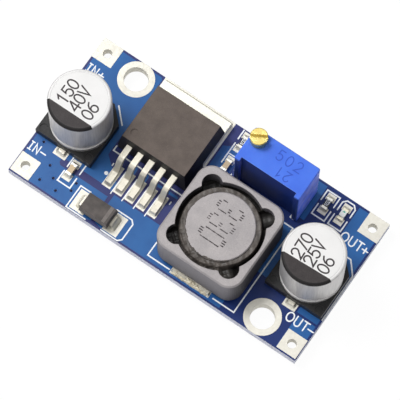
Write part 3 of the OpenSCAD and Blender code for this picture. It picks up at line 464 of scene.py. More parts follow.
def tab_look():
    """Tinned lead and tab: bright and cream on the wide tab behind the body, a little duller on the leads."""
    k = Look("tinned_tab")
    cloud = k.noise(1.5, detail=5)
    fine = k.noise(0.12, detail=3, shift=(3, 7, 1))
    share = k.band(k.math("ADD", k.math("MULTIPLY", cloud, 0.7), k.math("MULTIPLY", fine, 0.3)), 0.35, 0.7)
    lead = k.mix(share, srgb(214, 209, 194), srgb(192, 187, 174))
    wide = k.mix(share, srgb(236, 235, 222), srgb(226, 224, 210))
    behind = k.band(k.axis("Y"), float(REG_HIGH[1]) - 0.1, float(REG_HIGH[1]) + 0.1)
    k.relief(cloud, 0.01)
    k.relief(fine, 0.006)
    return k.done(k.mix(behind, lead, wide), k.band(fine, 0.2, 0.8, 0.34, 0.5), 0.5, 0.08)


def trimmer_look():
    """Bright blue moulding, with painted light on its +X end face, a brighter blue with pale hazy patches of
    painted reflection, and painted shade on its front.
    """
    k = Look("trimmer_plastic")
    cloud = k.noise(3, detail=4)
    fine = k.noise(0.14, detail=4, rough=0.7)
    color = k.mix(k.band(cloud, 0.3, 0.7), srgb(72, 122, 236), srgb(60, 108, 226))
    worn = k.math("MULTIPLY", k.edges(0.12), 0.5)
    color = k.mix(worn, color, srgb(140, 170, 245))
    # Painted light: the face that looks along +X is painted a brighter, more saturated blue. It is darker in
    # some patches, and pale and hazy in others, where the pale patches are painted reflection.
    side = k.band(k.facing("X"), 0.5, 0.9)
    painted_reflection = k.math("MULTIPLY", side, k.band(k.noise(1.7, detail=6, rough=0.65, shift=(9, 1, 4)), 0.46,
        0.68))
    dim = k.math("MULTIPLY", side, k.band(k.noise(1.4, detail=5, shift=(2, 6, 1)), 0.42, 0.6))
    color = k.mix(side, color, srgb(84, 118, 250))
    color = k.mix(k.math("MULTIPLY", dim, 0.4), color, srgb(50, 70, 190))
    color = k.mix(k.math("MULTIPLY", painted_reflection, 0.42), color, srgb(190, 198, 255))
    # Painted shade: faces that look to the front, including the recess, are painted dark blue.
    front = k.band(k.facing("Y"), -0.5, -0.9)
    color = k.mix(front, color, srgb(28, 54, 132))
    k.relief(fine, 0.012)
    return k.done(
        color, k.band(fine, 0.2, 0.8, 0.34, 0.5), 0.0, 0.1,
        Subsurface_Weight=0.08, Subsurface_Scale=0.0006, Specular_IOR_Level=0.3,
    )


def brass_look():
    """Turned brass: rings from the lathe about the screw's axis."""
    k = Look("screw_brass")
    x0, y0, _ = middle("trimmer_screw")
    v = k.vector("SUBTRACT", k.place, (float(x0), float(y0), 0))
    parts = k.add("ShaderNodeSeparateXYZ", _0=v)
    r = k.math("SQRT", k.math("ADD", k.math("POWER", k.math("ABSOLUTE", parts.outputs["X"]), 2.0),
                             k.math("POWER", k.math("ABSOLUTE", parts.outputs["Y"]), 2.0)))
    rings = k.math("SINE", k.math("MULTIPLY", r, 2 * math.pi / 0.07))
    cloud = k.noise(0.8, detail=4)
    color = k.mix(k.band(cloud, 0.3, 0.7), srgb(232, 216, 140), srgb(216, 192, 112))
    k.relief(rings, 0.0012)
    k.relief(cloud, 0.01)
    return k.done(color, k.band(cloud, 0.3, 0.7, 0.22, 0.36), 1.0, 0.05)


def ink_look(name, light, dark):
    """Printed ink: a slightly uneven film."""
    k = Look(name)
    cloud = k.noise(0.8, detail=4)
    fine = k.noise(0.12, detail=4, rough=0.7)
    share = k.band(k.math("ADD", k.math("MULTIPLY", cloud, 0.5), k.math("MULTIPLY", fine, 0.5)), 0.35, 0.65)
    k.relief(fine, 0.004)
    return k.done(k.mix(share, light, dark), k.band(fine, 0.2, 0.8, 0.4, 0.6), 0.0, 0.0,
        Specular_IOR_Level=0.25)


def clear_look():
    """Clear yellowish resin of the lamp."""
    k = Look("lamp_resin")
    cloud = k.noise(0.3, detail=3)
    k.relief(cloud, 0.004)
    return k.done(
        k.mix(k.band(cloud, 0.3, 0.7), srgb(255, 255, 254), srgb(246, 254, 246)), 0.1, 0.0, 0.05,
        IOR=1.5, Coat_Weight=0.5, Coat_Roughness=0.05,
    )


LOOKS = {
    "solder_mask": board_look(),
    "tinned_copper": metal("tinned_copper", srgb(230, 227, 216), srgb(216, 213, 202), 0.5, 1.2, 0.02,
        0.03, 0.3),
    "solder": metal("solder", srgb(232, 228, 214), srgb(200, 196, 184), 0.34, 0.5, 0.02, 0.03, 0.6),
    "can_aluminium": can_look(),
    "base_plastic": plastic("base_plastic", srgb(44, 43, 44), srgb(33, 33, 34), 0.45, 0.5, 0.012, 0.1, 0.3),
    "tinned_lead": metal("tinned_lead", srgb(214, 209, 194), srgb(192, 187, 174), 0.42, 0.5, 0.01, 0.08,
        0.55),
    "ferrite": ferrite_look(),
    "enamelled_copper": metal("enamelled_copper", srgb(190, 110, 60), srgb(150, 78, 40), 0.25, 0.4, 0.01,
        0.0, 0.9),
    "dark_glue": glue_look(),
    "moulding_compound": moulding_look(),
    "trimmer_plastic": trimmer_look(),
    "screw_brass": brass_look(),
    "seal_rubber": plastic("seal_rubber", srgb(30, 30, 32), srgb(22, 22, 24), 0.6, 0.3, 0.01, 0.0),
    "rotor_plastic": plastic("rotor_plastic", srgb(238, 236, 226), srgb(224, 221, 210), 0.45, 0.4, 0.01,
        0.05),
    "wiper_metal": metal("wiper_metal", srgb(235, 205, 130), srgb(212, 180, 104), 0.25, 0.4, 0.005, 0.02),
    "white_ceramic": plastic("white_ceramic", srgb(244, 243, 238), srgb(232, 231, 226), 0.4, 0.4, 0.01,
        0.05),
    "resistive_ink": ink_look("resistive_ink", srgb(30, 30, 32), srgb(20, 20, 22)),
    "sealing_resin": plastic("sealing_resin", srgb(150, 162, 190), srgb(128, 142, 176), 0.25, 0.6, 0.02,
        0.0),
    "tan_ceramic": plastic("tan_ceramic", srgb(222, 202, 168), srgb(206, 182, 146), 0.35, 0.3, 0.008,
        0.05, 0.15),
    "chip_metal": metal("chip_metal", srgb(236, 234, 226), srgb(208, 205, 196), 0.28, 0.3, 0.015, 0.06,
        0.85),
    "resistor_glaze": plastic("resistor_glaze", srgb(44, 42, 46), srgb(30, 29, 33), 0.14, 0.3, 0.008,
        0.05, 0.15, 0.6),
    "lamp_white": plastic("lamp_white", srgb(246, 250, 240), srgb(236, 242, 228), 0.4, 0.3, 0.008, 0.03),
    "lamp_resin": clear_look(),
    "lamp_gold": metal("lamp_gold", srgb(244, 238, 214), srgb(228, 220, 190), 0.3, 0.3, 0.01, 0.03, 0.6),
}
LOOKS["mask_over_copper"] = pour_look()
LOOKS["tinned_tab"] = tab_look()
LOOKS["diode_compound"] = plastic("diode_compound", srgb(96, 89, 86), srgb(68, 64, 62), 0.5, 0.3, 0.02,
    0.08, 0.15)
LOOKS["rough_solder"] = metal("rough_solder", srgb(240, 232, 208), srgb(150, 134, 108), 0.4, 0.22, 0.05,
    0.0, 0.4)
# Dark navy for the plugs in the vias: painted shade standing in for the shade inside their holes.
LOOKS["via_painted_shade"] = plastic("via_painted_shade", srgb(20, 30, 70), srgb(12, 20, 52), 0.5, 0.3, 0.01, 0.0)
LOOKS["white_ink"] = ink_look("white_ink", srgb(252, 254, 255), srgb(240, 245, 250))
LOOKS["black_ink"] = ink_look("black_ink", srgb(62, 57, 57), srgb(50, 45, 46))
LOOKS["print_ink"] = ink_look("print_ink", srgb(50, 44, 46), srgb(66, 59, 61))
LOOKS["blue_ink"] = ink_look("blue_ink", srgb(44, 78, 190), srgb(54, 92, 206))
# A darker copy of the stripe's black ink for the can's rolled edge: painted shade.
LOOKS["edge_ink_painted_shade"] = ink_look("edge_ink_painted_shade", srgb(30, 27, 28), srgb(22, 20, 21))
LOOKS["green_ink"] = ink_look("green_ink", srgb(120, 205, 180), srgb(100, 190, 165))
LOOKS["grey_ink"] = ink_look("grey_ink", srgb(124, 117, 113), srgb(104, 98, 95))

OWN_LOOK = {"regulator_tab": "tinned_tab", "diode_body": "diode_compound"}
for name, obj in nodes.items():
    obj.data.materials.clear()
    obj.data.materials.append(LOOKS[OWN_LOOK.get(name, slot_of[name])])


# ---- Mesh building ----


class Sheet:
    """Gathers vertices and faces, in millimetres, and makes one piece of them."""

    def __init__(self):
        self.points = []
        self.faces = []
        self.count = 0
        self.layer = 0

    def put(self, points, faces):
        points = np.asarray(points, float)
        self.points.append(points)
        self.faces += [tuple(int(i) + self.count for i in f) for f in faces]
        self.count += len(points)

    def grid(self, x, y, z, around=False):
        """A surface given by three arrays of the same shape; around joins its last row to its first."""
        n, m = np.broadcast(x, y, z).shape
        points = np.stack(np.broadcast_arrays(x, y, z), -1).reshape(-1, 3).astype(float)
        i, j = np.meshgrid(np.arange(n if around else n - 1), np.arange(m - 1), indexing="ij")
        k = (i + 1) % n
        quads = np.stack([i * m + j, k * m + j, k * m + j + 1, i * m + j + 1], -1).reshape(-1, 4)
        self.put(points, quads)

    def plate(self, outline, low, high):
        """A flat plate of this outline, anticlockwise."""
        p = np.asarray(outline, float)
        n = len(p)
        points = np.vstack([np.c_[p, np.full(n, low)], np.c_[p, np.full(n, high)]])
        sides = [(i, (i + 1) % n, n + (i + 1) % n, n + i) for i in range(n)]
        self.put(points, sides + [tuple(range(n, 2 * n))])

    def stroke(self, path, width, low, high, closed=False, shape=None):
        """A line of this width with round ends, as a raised film. shape maps its points to the part."""
        p = np.asarray(path, float)
        side = offset(p, width / 2, closed)
        left, right = p + side, p - side
        if closed:
            n = len(p)
            flat = np.vstack([left, right])
            quads = [(n + i, n + (i + 1) % n, (i + 1) % n, i) for i in range(n)]
            outer = [(i, (i + 1) % n) for i in range(n)]
            inner = [(n + (i + 1) % n, n + i) for i in range(n)]
            rim = outer + inner
        else:
            start = cap(p[0], p[0] - p[1], width / 2)
            end = cap(p[-1], p[-1] - p[-2], width / 2)
            flat = np.vstack([right, end, left[::-1], start])
            n = len(p)
            e, s = len(end), len(start)
            a = list(range(n))
            b = [n + e + i for i in range(n)]
            quads = [(a[i], a[i + 1], b[n - 2 - i], b[n - 1 - i]) for i in range(n - 1)]
            quads.append(tuple([a[-1]] + list(range(n, n + e)) + [b[0]]))
            quads.append(tuple([b[-1]] + list(range(2 * n + e, 2 * n + e + s)) + [a[0]]))
            rim = [(i, (i + 1) % len(flat)) for i in range(len(flat))]
        m = len(flat)
        # Neighbouring strokes end at slightly different heights, so that none shares a face with another.
        self.layer = (self.layer + 1) % 5
        high += 0.0015 * self.layer
        points = np.vstack([np.c_[flat, np.full(m, high)], np.c_[flat, np.full(m, low)]])
        walls = [(i, m + i, m + j, j) for i, j in rim]
        if shape is not None:
            points = shape(points)
        self.put(points, quads + walls)

    def piece(self, name, look, slot, body="module", smooth=0.0):
        """The gathered faces as one mesh object that rides on a body."""
        mesh = bpy.data.meshes.new(name)
        mesh.from_pydata((np.vstack(self.points) * MM).tolist(), [], self.faces)
        mesh.validate()
        mesh.update()
        if smooth:
            mesh.shade_smooth()
            mesh.set_sharp_from_angle(angle=math.radians(smooth))
        mesh.materials.append(LOOKS[look])
        obj = bpy.data.objects.new(name, mesh)
        bpy.context.scene.collection.objects.link(obj)
        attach(obj, body)
        return obj


def offset(p, distance, closed=True):
    """Mitred shift of each point to the left of a path, so that every side moves by distance."""
    p = np.asarray(p, float)
    step = np.roll(p, -1, 0) - p
    if not closed:
        step[-1] = step[-2]
    step /= np.maximum(np.linalg.norm(step, axis=1, keepdims=True), 1e-9)
    before = np.roll(step, 1, 0)
    if not closed:
        before[0] = step[0]
    left_a = np.c_[-before[:, 1], before[:, 0]]
    left_b = np.c_[-step[:, 1], step[:, 0]]
    m = left_a + left_b
    m /= np.maximum(np.linalg.norm(m, axis=1, keepdims=True), 1e-9)
    return m * (distance / np.maximum((m * left_a).sum(1, keepdims=True), 0.35))


def cap(point, direction, radius, steps=5):
    """Points of the half circle that rounds a line's end, from its right side to its left."""
    a = math.atan2(direction[1], direction[0])
    t = a + np.linspace(-math.pi / 2, math.pi / 2, steps + 2)[1:-1]
    return np.c_[point[0] + radius * np.cos(t), point[1] + radius * np.sin(t)]


def arc(cx, cy, rx, ry, start, end, steps=12):
    """Points on an ellipse from one angle to another, in degrees."""
    t = np.radians(np.linspace(start, end, steps + 1))
    return list(zip(cx + rx * np.cos(t), cy + ry * np.sin(t)))


# Strokes of each character in a box one unit high. A stroke marked True is a closed ring.
OVAL = arc(0.31, 0.5, 0.29, 0.5, 90, 450, 28)[:-1]
GLYPHS = {
    "0": [(OVAL, True)],
    "O": [(arc(0.4, 0.5, 0.38, 0.5, 90, 450, 28)[:-1], True)],
    "1": [([(0.08, 0.74), (0.34, 1.0), (0.34, 0.0)], False)],
    "2": [(arc(0.31, 0.7, 0.28, 0.3, 165, -35, 14) + [(0.03, 0.0), (0.62, 0.0)], False)],
    "4": [([(0.46, 0.0), (0.46, 1.0)], False), ([(0.44, 0.98), (0.0, 0.28), (0.64, 0.28)], False)],
    "5": [([(0.56, 1.0), (0.13, 1.0), (0.08, 0.55)] + arc(0.3, 0.32, 0.29, 0.32, 125, -150, 14), False)],
    "6": [(arc(0.31, 0.31, 0.28, 0.31, 0, 360, 24)[:-1], True),
        ([(0.04, 0.38), (0.1, 0.68), (0.25, 0.88), (0.48, 1.0)], False)],
    "7": [([(0.02, 1.0), (0.6, 1.0), (0.22, 0.0)], False)],
    "V": [([(0.0, 1.0), (0.31, 0.0), (0.62, 1.0)], False)],
    "I": [([(0.0, 0.0), (0.36, 0.0)], False), ([(0.0, 1.0), (0.36, 1.0)], False),
        ([(0.18, 0.0), (0.18, 1.0)], False)],
    "N": [([(0.06, 0.0), (0.06, 1.0), (0.62, 0.0), (0.62, 1.0)], False)],
    "U": [([(0.06, 1.0)] + arc(0.36, 0.3, 0.3, 0.3, 180, 360, 10) + [(0.66, 1.0)], False)],
    "T": [([(0.0, 1.0), (0.64, 1.0)], False), ([(0.32, 0.94), (0.32, 0.0)], False)],
    "+": [([(0.02, 0.45), (0.66, 0.45)], False), ([(0.34, 0.13), (0.34, 0.77)], False)],
    "-": [([(0.02, 0.45), (0.66, 0.45)], False)],
}
ADVANCE = {"I": 0.62, "O": 0.98, "N": 0.9, "U": 0.92}


def write(sheet, text, spot, height, width, low, high, turn=0.0, spacing=0.86, shape=None):
    """Strokes of a line of text whose first baseline point is spot, turned about it by degrees."""
    c, s = math.cos(math.radians(turn)), math.sin(math.radians(turn))
    along = 0.0
    for letter in text:
        for path, closed in GLYPHS.get(letter, []):
            p = np.asarray(path, float) * height + [along * height, 0]
            p = np.c_[p[:, 0] * c - p[:, 1] * s + spot[0], p[:, 0] * s + p[:, 1] * c + spot[1]]
            sheet.stroke(p, width, low, high, closed, shape)
        along += ADVANCE.get(letter, spacing)


def lumpy(x, y, seed=0.0):
    """Smooth unevenness between about -1 and 1: a sum of sines whose waves cross."""
    return (
        np.sin(1.7 * x + 2.3 * y + seed) + np.sin(3.1 * x - 1.9 * y + 2.1 * seed + 1)
        + 0.6 * np.sin(5.3 * x + 4.7 * y + 0.7 * seed + 2) + 0.4 * np.sin(9.1 * x - 7.3 * y + seed)
    ) / 3


# ---- Copper under the lacquer ----


def circle(x, y, r, n=40):
    """Points of a circle, anticlockwise."""
    t = np.linspace(0, 2 * math.pi, n, endpoint=False)
    return np.c_[x + r * np.cos(t), y + r * np.sin(t)]


def copper(name, outlines, low, high):
    """Flat areas, each with its holes, raised by the thickness of the copper under the lacquer."""
    curve = bpy.data.curves.new(name, "CURVE")
    curve.dimensions = "2D"
    curve.fill_mode = "BOTH"
    curve.extrude = (high - low) / 2
    for outline in outlines:
        p = np.asarray(outline, float)
        spline = curve.splines.new("POLY")
        spline.points.add(len(p) - 1)
        spline.points.foreach_set("co", np.c_[p, np.zeros(len(p)),
            np.ones(len(p))].astype(np.float32).ravel())
        spline.use_cyclic_u = True
    draft = bpy.data.objects.new(name + "_draft", curve)
    bpy.context.scene.collection.objects.link(draft)
    bpy.context.view_layer.update()
    mesh = bpy.data.meshes.new_from_object(draft.evaluated_get(bpy.context.evaluated_depsgraph_get()))
    bpy.data.objects.remove(draft)
    bpy.data.curves.remove(curve)
    co = np.zeros(len(mesh.vertices) * 3)
    mesh.vertices.foreach_get("co", co)
    co = co.reshape(-1, 3) + [0, 0, (low + high) / 2]
    mesh.vertices.foreach_set("co", (co * MM).ravel())
    mesh.name = name
    mesh.materials.clear()
    mesh.materials.append(LOOKS["mask_over_copper"])
    mesh.update()
    obj = bpy.data.objects.new(name, mesh)
    bpy.context.scene.collection.objects.link(obj)
    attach(obj, "module")
    return obj


def clearings():
    """Outlines of the drilled holes, each a little wider than the hole."""
    groups = ((HOLES, 1.85, 40), (WIRE_SPOTS, 0.85, 24), (VIA_SPOTS, 0.22, 12), (PINS, 0.9, 24))
    return [circle(x, y, r, n) for spots, r, n in groups for x, y in spots]


def add_copper():
    """Areas that follow the current: input, ground, switched node and output, with gaps between."""
    xl, xr = BOARD_LOW[0] + 0.3, BOARD_HIGH[0] - 0.3
    yl, yh = BOARD_LOW[1] + 0.25, BOARD_HIGH[1] - 0.3
    low, high = TOP - 0.02, TOP + 0.018
    reg_l, reg_r = REG_LOW[0], REG_HIGH[0]
    chip = CHIPS["input_chip_capacitor"]
    ind = (SHIELD_LOW + SHIELD_HIGH) / 2
    supply = [
        (xl, yh), (reg_l - 0.7, yh), (reg_l - 0.45, yh - 0.3), (reg_l - 0.45, REG_LOW[1] - 1.5),
        (reg_l + 2.6, REG_LOW[1] - 4.0),
        (reg_l + 2.6, chip[1] + 0.5), (reg_l + 2.3, chip[1] + 0.8), (chip[0] - 1.6, chip[1] + 0.8),
        (chip[0] - 1.6, IN_CAN[1] + 0.6), (xl, IN_CAN[1] + 0.6),
    ]
    ground = [
        (xl, IN_CAN[1] + 0.3), (chip[0] - 1.9, IN_CAN[1] + 0.3), (chip[0] - 1.9, chip[1] + 0.1),
        (chip[0] - 1.6, chip[1] - 0.2),
        (DIODE[0] - 0.3, chip[1] - 0.2), (DIODE[0] - 0.3, DIODE[1] - 1.35), (DIODE[0] - 0.9, yl), (xl, yl),
    ]
    switched = [
        (DIODE[0] + 0.25, chip[1] + 0.45), (SHIELD_LOW[0] - 0.4, chip[1] + 0.45),
        (SHIELD_LOW[0] + 0.3, chip[1] + 1.1),
        (SHIELD_HIGH[0] - 1.4, chip[1] + 1.1), (SHIELD_HIGH[0] - 1.4, yl), (DIODE[0] + 1.5, yl),
        (DIODE[0] + 0.25, DIODE[1] - 1.2),
    ]
    output = [
        (OUT_CAN[0] + 0.15, yh), (xr, yh), (xr, OUT_CAN[1] - 4.9), (OUT_CAN[0] + 1.2, OUT_CAN[1] - 4.9),
        (OUT_CAN[0] + 1.2, OUT_CAN[1] - 3.4),
        (ind[0] + 3.4, OUT_CAN[1] - 3.4), (ind[0] + 3.4, SHIELD_HIGH[1] + 0.5),
        (OUT_CAN[0] - 5.1, SHIELD_HIGH[1] + 0.5),
        (OUT_CAN[0] - 1.6, SHIELD_HIGH[1] + 2.5), (OUT_CAN[0] + 0.15, SHIELD_HIGH[1] + 3.0),
    ]
    back = [(OUT_CAN[0] + 1.5, OUT_CAN[1] - 5.2), (xr, OUT_CAN[1] - 5.2), (xr, yl), (OUT_CAN[0] + 1.5, yl)]
    rail = [
        (reg_r + 2.3, yh), (reg_r + 3.2, yh), (reg_r + 3.2, SHIELD_HIGH[1] + 0.9),
        (reg_r + 2.9, SHIELD_HIGH[1] + 0.6),
        (reg_r + 0.5, SHIELD_HIGH[1] + 0.6), (reg_r + 0.5, SHIELD_HIGH[1] + 4.3),
        (reg_r + 2.0, SHIELD_HIGH[1] + 5.1),
    ]
    lamp_r = CHIPS["lamp_resistor"]
    strip = [
        (TRIM_HIGH[0] - 1.4, yh), (TRIM_HIGH[0] - 1.4, TRIM_LOW[1] + 0.8),
        (lamp_r[0] - 1.2, TRIM_LOW[1] + 0.8), (lamp_r[0] - 1.2, yh)
    ]
    upper = [supply, ground, switched, output, back, rail, strip]
    holes = clearings()
    inside = [h for h in holes if any(in_outline(h.mean(0), o) for o in upper)]
    copper("copper_areas_top", upper + inside, low, high)
    tracks = Sheet()
    for path, width in (
        ([(reg_l + 3.4, REG_LOW[1] - 1.2), (reg_l + 3.4, REG_LOW[1] - 2.2)], 0.7),
        ([(reg_l + 5.1, REG_LOW[1] - 1.2), (reg_l + 5.1, REG_LOW[1] - 2.2)], 0.7),
        ([(reg_l + 6.8, REG_LOW[1] - 2.2), (reg_l + 6.8, REG_LOW[1] - 1.3),
            (reg_r - 0.4, REG_LOW[1] - 1.3)], 0.35),
    ):
        tracks.stroke(path, width, low, high - 0.004)
    tracks.piece("copper_tracks_top", "mask_over_copper", "solder_mask")
    under = [
        [(xl, yl), (xr, yl), (xr, yh), (OUT_CAN[0] - 3.6, yh), (OUT_CAN[0] - 3.6, SHIELD_HIGH[1] + 3.6),
            (reg_r + 0.4, SHIELD_HIGH[1] + 3.6), (reg_r + 0.4, yh), (xl, yh)]
    ]
    inside = [h for h in holes if in_outline(h.mean(0), under[0])]
    copper("copper_area_under", under + inside, -0.018, 0.02)
    rings, fills = Sheet(), Sheet()
    for x, y in VIA_SPOTS:
        t = np.linspace(0, 2 * math.pi, 20, endpoint=False)[:, None]
        r = np.array([0.17, 0.2, 0.27, 0.34, 0.36])[None, :]
        z = np.array([TOP - 0.06, TOP + 0.018, TOP + 0.026, TOP + 0.02, TOP])[None, :]
        rings.grid(x + r * np.cos(t), y + r * np.sin(t), z + 0 * t, around=True)
        # Painted shade: each via's hole is filled with a dark plug that stands in for the shade inside the
        # hole.
        r = np.array([0.0, 0.09, 0.17, 0.17])[None, :]
        z = np.array([TOP - 0.11, TOP - 0.1, TOP - 0.05, -0.005])[None, :]
        fills.grid(x + r * np.cos(t), y + r * np.sin(t), z + 0 * t, around=True)
    rings.piece("via_rings", "mask_over_copper", "solder_mask", smooth=50)
    fills.piece("via_fills", "via_painted_shade", "solder_mask", smooth=50)


def in_outline(point, outline):
    """Whether a point lies inside an outline: a ray from it crosses an odd number of sides."""
    p = np.asarray(outline, float)
    q = np.roll(p, -1, 0)
    crosses = (p[:, 1] > point[1]) != (q[:, 1] > point[1])
    rise = np.where(q[:, 1] == p[:, 1], 1e-9, q[:, 1] - p[:, 1])
    x = p[:, 0] + (point[1] - p[:, 1]) * (q[:, 0] - p[:, 0]) / rise
    return bool((crosses & (point[0] < x)).sum() % 2)


# ---- White print on the board ----


def add_white_print():
    """Outlines of the parts and the names of the four wire pads, as a raised film of ink."""
    low, high = TOP - 0.01, TOP + 0.03
    print_ = Sheet()

    def line(base, path, width=0.18):
        print_.stroke(np.asarray(path, float) + np.asarray(base[:2], float), width, low, high)

    line(IN_CAN, [(2.4, 4.6), (4.2, 2.75)])
    line(OUT_CAN, [(2.45, 4.4), (2.95, 4.4), (4.33, 2.75), (4.33, -4.0)])
    ind = middle("inductor_shield")
    line(ind, [(-6.35, -4.6), (-6.35, -6.55), (-3.1, -6.55)])
    line(ind, [(3.45, -6.55), (6.55, -6.55), (6.55, 6.5), (5.3, 6.5)])
    front = (middle("regulator_body")[0], REG_LOW[1])
    line(front, [(-5.3, 0.0), (-5.3, -0.7), (5.0, -0.7)])
    for x in (-2.4, -0.7, 1.05, 2.75):
        line(front, [(x, -2.15), (x, -5.5)], 0.15)
    line(front, [(-4.3, -2.1), (-4.3, -2.4)], 0.15)
    line(front, [(4.45, -2.15), (4.45, -2.5)], 0.15)
    line(front, [(-4.36, -3.65), (-4.34, -3.65)], 0.5)
    chip = CHIPS["input_chip_capacitor"]
    line(chip, [(-0.75, -0.5), (-0.75, -2.0), (1.13, -2.0), (1.13, -0.5)])
    line(chip, [(-0.75, 1.5), (-0.75, 0.15)])
    line(chip, [(1.13, 1.5), (1.13, 0.15)])
    line(DIODE, [(-2.35, 1.65), (-3.85, 1.65), (-3.85, -1.6), (-0.95, -1.6)])
    line(DIODE, [(1.65, 1.65), (3.9, 1.65), (4.35, 1.2), (4.35, -1.15), (3.9, -1.6), (1.45, -1.6)])
    corner = (TRIM_HIGH[0], TRIM_LOW[1])
    line(corner, [(-0.98, 0.85), (-0.98, 0.2), (-0.5, 0.15)])
    feed = CHIPS["feedback_resistor"]
    line(feed, [(-0.83, 1.5), (-0.83, 0.15)])
    line(feed, [(-0.83, -0.5), (-0.83, -3.5)])
    line(feed, [(-0.6, -2.05), (0.2, -2.05)], 0.15)
    line(feed, [(1.1, -2.95), (1.1, -3.5)], 0.15)
    line(feed, [(1.65, -3.6), (1.65, -4.3)], 0.15)
    line(feed, [(1.1, -4.15), (1.1, -4.3)], 0.15)
    res, lamp = CHIPS["lamp_resistor"], CHIPS["lamp_base"]
    line(res, [(-0.94, 0.1), (-0.94, 1.6), (0.94, 1.6), (0.94, 0.1)])
    line(res, [(-0.94, -0.55), (-0.94, -2.03), (0.94, -2.03), (0.94, -0.55)])
    line(lamp, [(-0.94, 0.15), (-0.94, 1.35), (-0.5, 1.8), (0.5, 1.8), (0.94, 1.35), (0.94, 0.15)])
    line(lamp, [(-0.94, -0.5), (-0.94, -2.0), (0.94, -2.0), (0.94, -0.5)])
    left, right = BOARD_LOW[0], BOARD_HIGH[0]
    write(print_, "IN+", (left + 0.45, WIRE_ROWS[1] - 3.35), 1.1, 0.17, low, high)
    write(print_, "IN-", (left + 0.35, WIRE_ROWS[0] + 1.85), 1.1, 0.17, low, high)
    write(print_, "OUT+", (right - 4.2, WIRE_ROWS[1] - 3.5), 1.2, 0.18, low, high, 0, 0.7)
    write(print_, "OUT-", (right - 4.05, WIRE_ROWS[0] + 1.9), 1.2, 0.18, low, high, 0, 0.7)
    print_.piece("white_print", "white_ink", "lamp_white")


# ---- Print on the capacitors ----


def add_can_print(name, can, rows, chord, turn):
    """Three rows of figures on a can's top, which run along the board's width
    and read from the output end."""
    c, s = math.cos(math.radians(turn)), math.sin(math.radians(turn))

    def place(p):
        x, y = p[:, 0] - can[0], p[:, 1] - can[1]
        return np.c_[can[0] + c * x - s * y, can[1] + s * x + c * y, p[:, 2]]

    sheet = Sheet()
    for text, dx in zip(rows, (-1.05, 0.7, 2.65)):
        write(sheet, text, (can[0] + dx, can[1] - 1.5), 1.5, 0.2, CAN_TOP - 0.004, CAN_TOP + 0.006, 90,
            0.74, place)
    sheet.piece(name + "_figures", "print_ink", "base_plastic")

    # The profile runs out over the flat top, round the rolled edge and a little way down the wall.
    edge = 0.35
    flat = CAN_R - edge
    bend = np.radians(np.linspace(90, -8, 12))
    rim = np.c_[flat + (edge + 0.008) * np.cos(bend), CAN_TOP - edge + (edge + 0.008) * np.sin(bend)]
    reach = math.asin(chord / flat)
    a = np.linspace(reach, math.pi - reach, 65)
    start = chord / np.sin(a)
    inner = start[:, None] + (flat - start)[:, None] * np.linspace(0, 1, 9)[None, :]
    film = CAN_TOP + 0.008
    # The stripe's ink on the rolled edge is painted darker than on the flat top, as painted shade.
    for suffix, look, radius, height in (
        ("_stripe", "black_ink", inner, np.full_like(inner, film)),
        ("_stripe_edge", "edge_ink_painted_shade", np.tile(rim[:, 0], (65, 1)), np.tile(rim[:, 1], (65, 1))),
    ):
        x = can[0] + radius * np.cos(a)[:, None]
        y = can[1] - radius * np.sin(a)[:, None]
        points = place(np.c_[x.ravel(), y.ravel(), height.ravel()]).reshape(x.shape + (3,))
        stripe = Sheet()
        stripe.grid(points[::-1, :, 0], points[::-1, :, 1], points[::-1, :, 2])
        stripe.piece(name + suffix, look, "base_plastic", smooth=60)


# ---- Inductor ----

# Each figure of the sprayed print: for each column, the spans of height that are sprayed, out of 28.
SPRAYED = {
    "3": [[(3, 7), (21, 25)], [(0, 2), (26, 28)], [(0, 2), (13, 15), (26, 28)],
        [(0, 2), (13, 15), (26, 28)], [(4, 12), (16, 24)]],
    "0": [[(4, 24)], [(0, 3), (25, 28)], [(0, 3), (25, 28)], [(0, 3), (25, 28)], [(4, 24)]],
}


def add_core_print():
    """Fine ink dots in columns: the figures stand along the board and are read towards its front."""
    spots = []
    for k, figure in enumerate("330"):
        for column, spans in enumerate(SPRAYED[figure]):
            for a, b in spans:
                h = np.arange(a, b + 1) * 0.13
                spots.append(np.c_[CORE[0] - 1.95 + h,
                    np.full(len(h), CORE[1] + 3.0 - 2.0 * k - 0.32 * column)])
    p = np.vstack(spots)
    p += 0.014 * np.c_[np.sin(37 * p[:, 0] + 11 * p[:, 1]), np.sin(23 * p[:, 0] - 31 * p[:, 1])]
    size = 0.09 + 0.014 * np.sin(41 * p[:, 0] + 17 * p[:, 1])
    t = np.linspace(0, 2 * math.pi, 8, endpoint=False)
    r = np.concatenate([np.full(8, 1.0), np.full(8, 0.7)])
    turn = np.concatenate([t, t])
    z = np.concatenate([np.full(8, CORE_TOP - 0.004), np.full(8, CORE_TOP + 0.008)])
    x = p[:, 0][:, None] + size[:, None] * (r * np.cos(turn))[None, :]
    y = p[:, 1][:, None] + size[:, None] * (r * np.sin(turn))[None, :]
    points = np.stack([x, y, np.broadcast_to(z, x.shape)], -1).reshape(-1, 3)
    i = np.arange(8)
    walls = np.c_[i, (i + 1) % 8, 8 + (i + 1) % 8, 8 + i]
    base = np.arange(len(p)) * 16
    sheet = Sheet()
    faces = [tuple(f) for f in (walls[None] + base[:, None, None]).reshape(-1, 4)]
    faces += [tuple(f) for f in (np.arange(8, 16)[None, :] + base[:, None])]
    sheet.put(points, faces)
    sheet.piece("core_figures", "print_ink", "base_plastic")


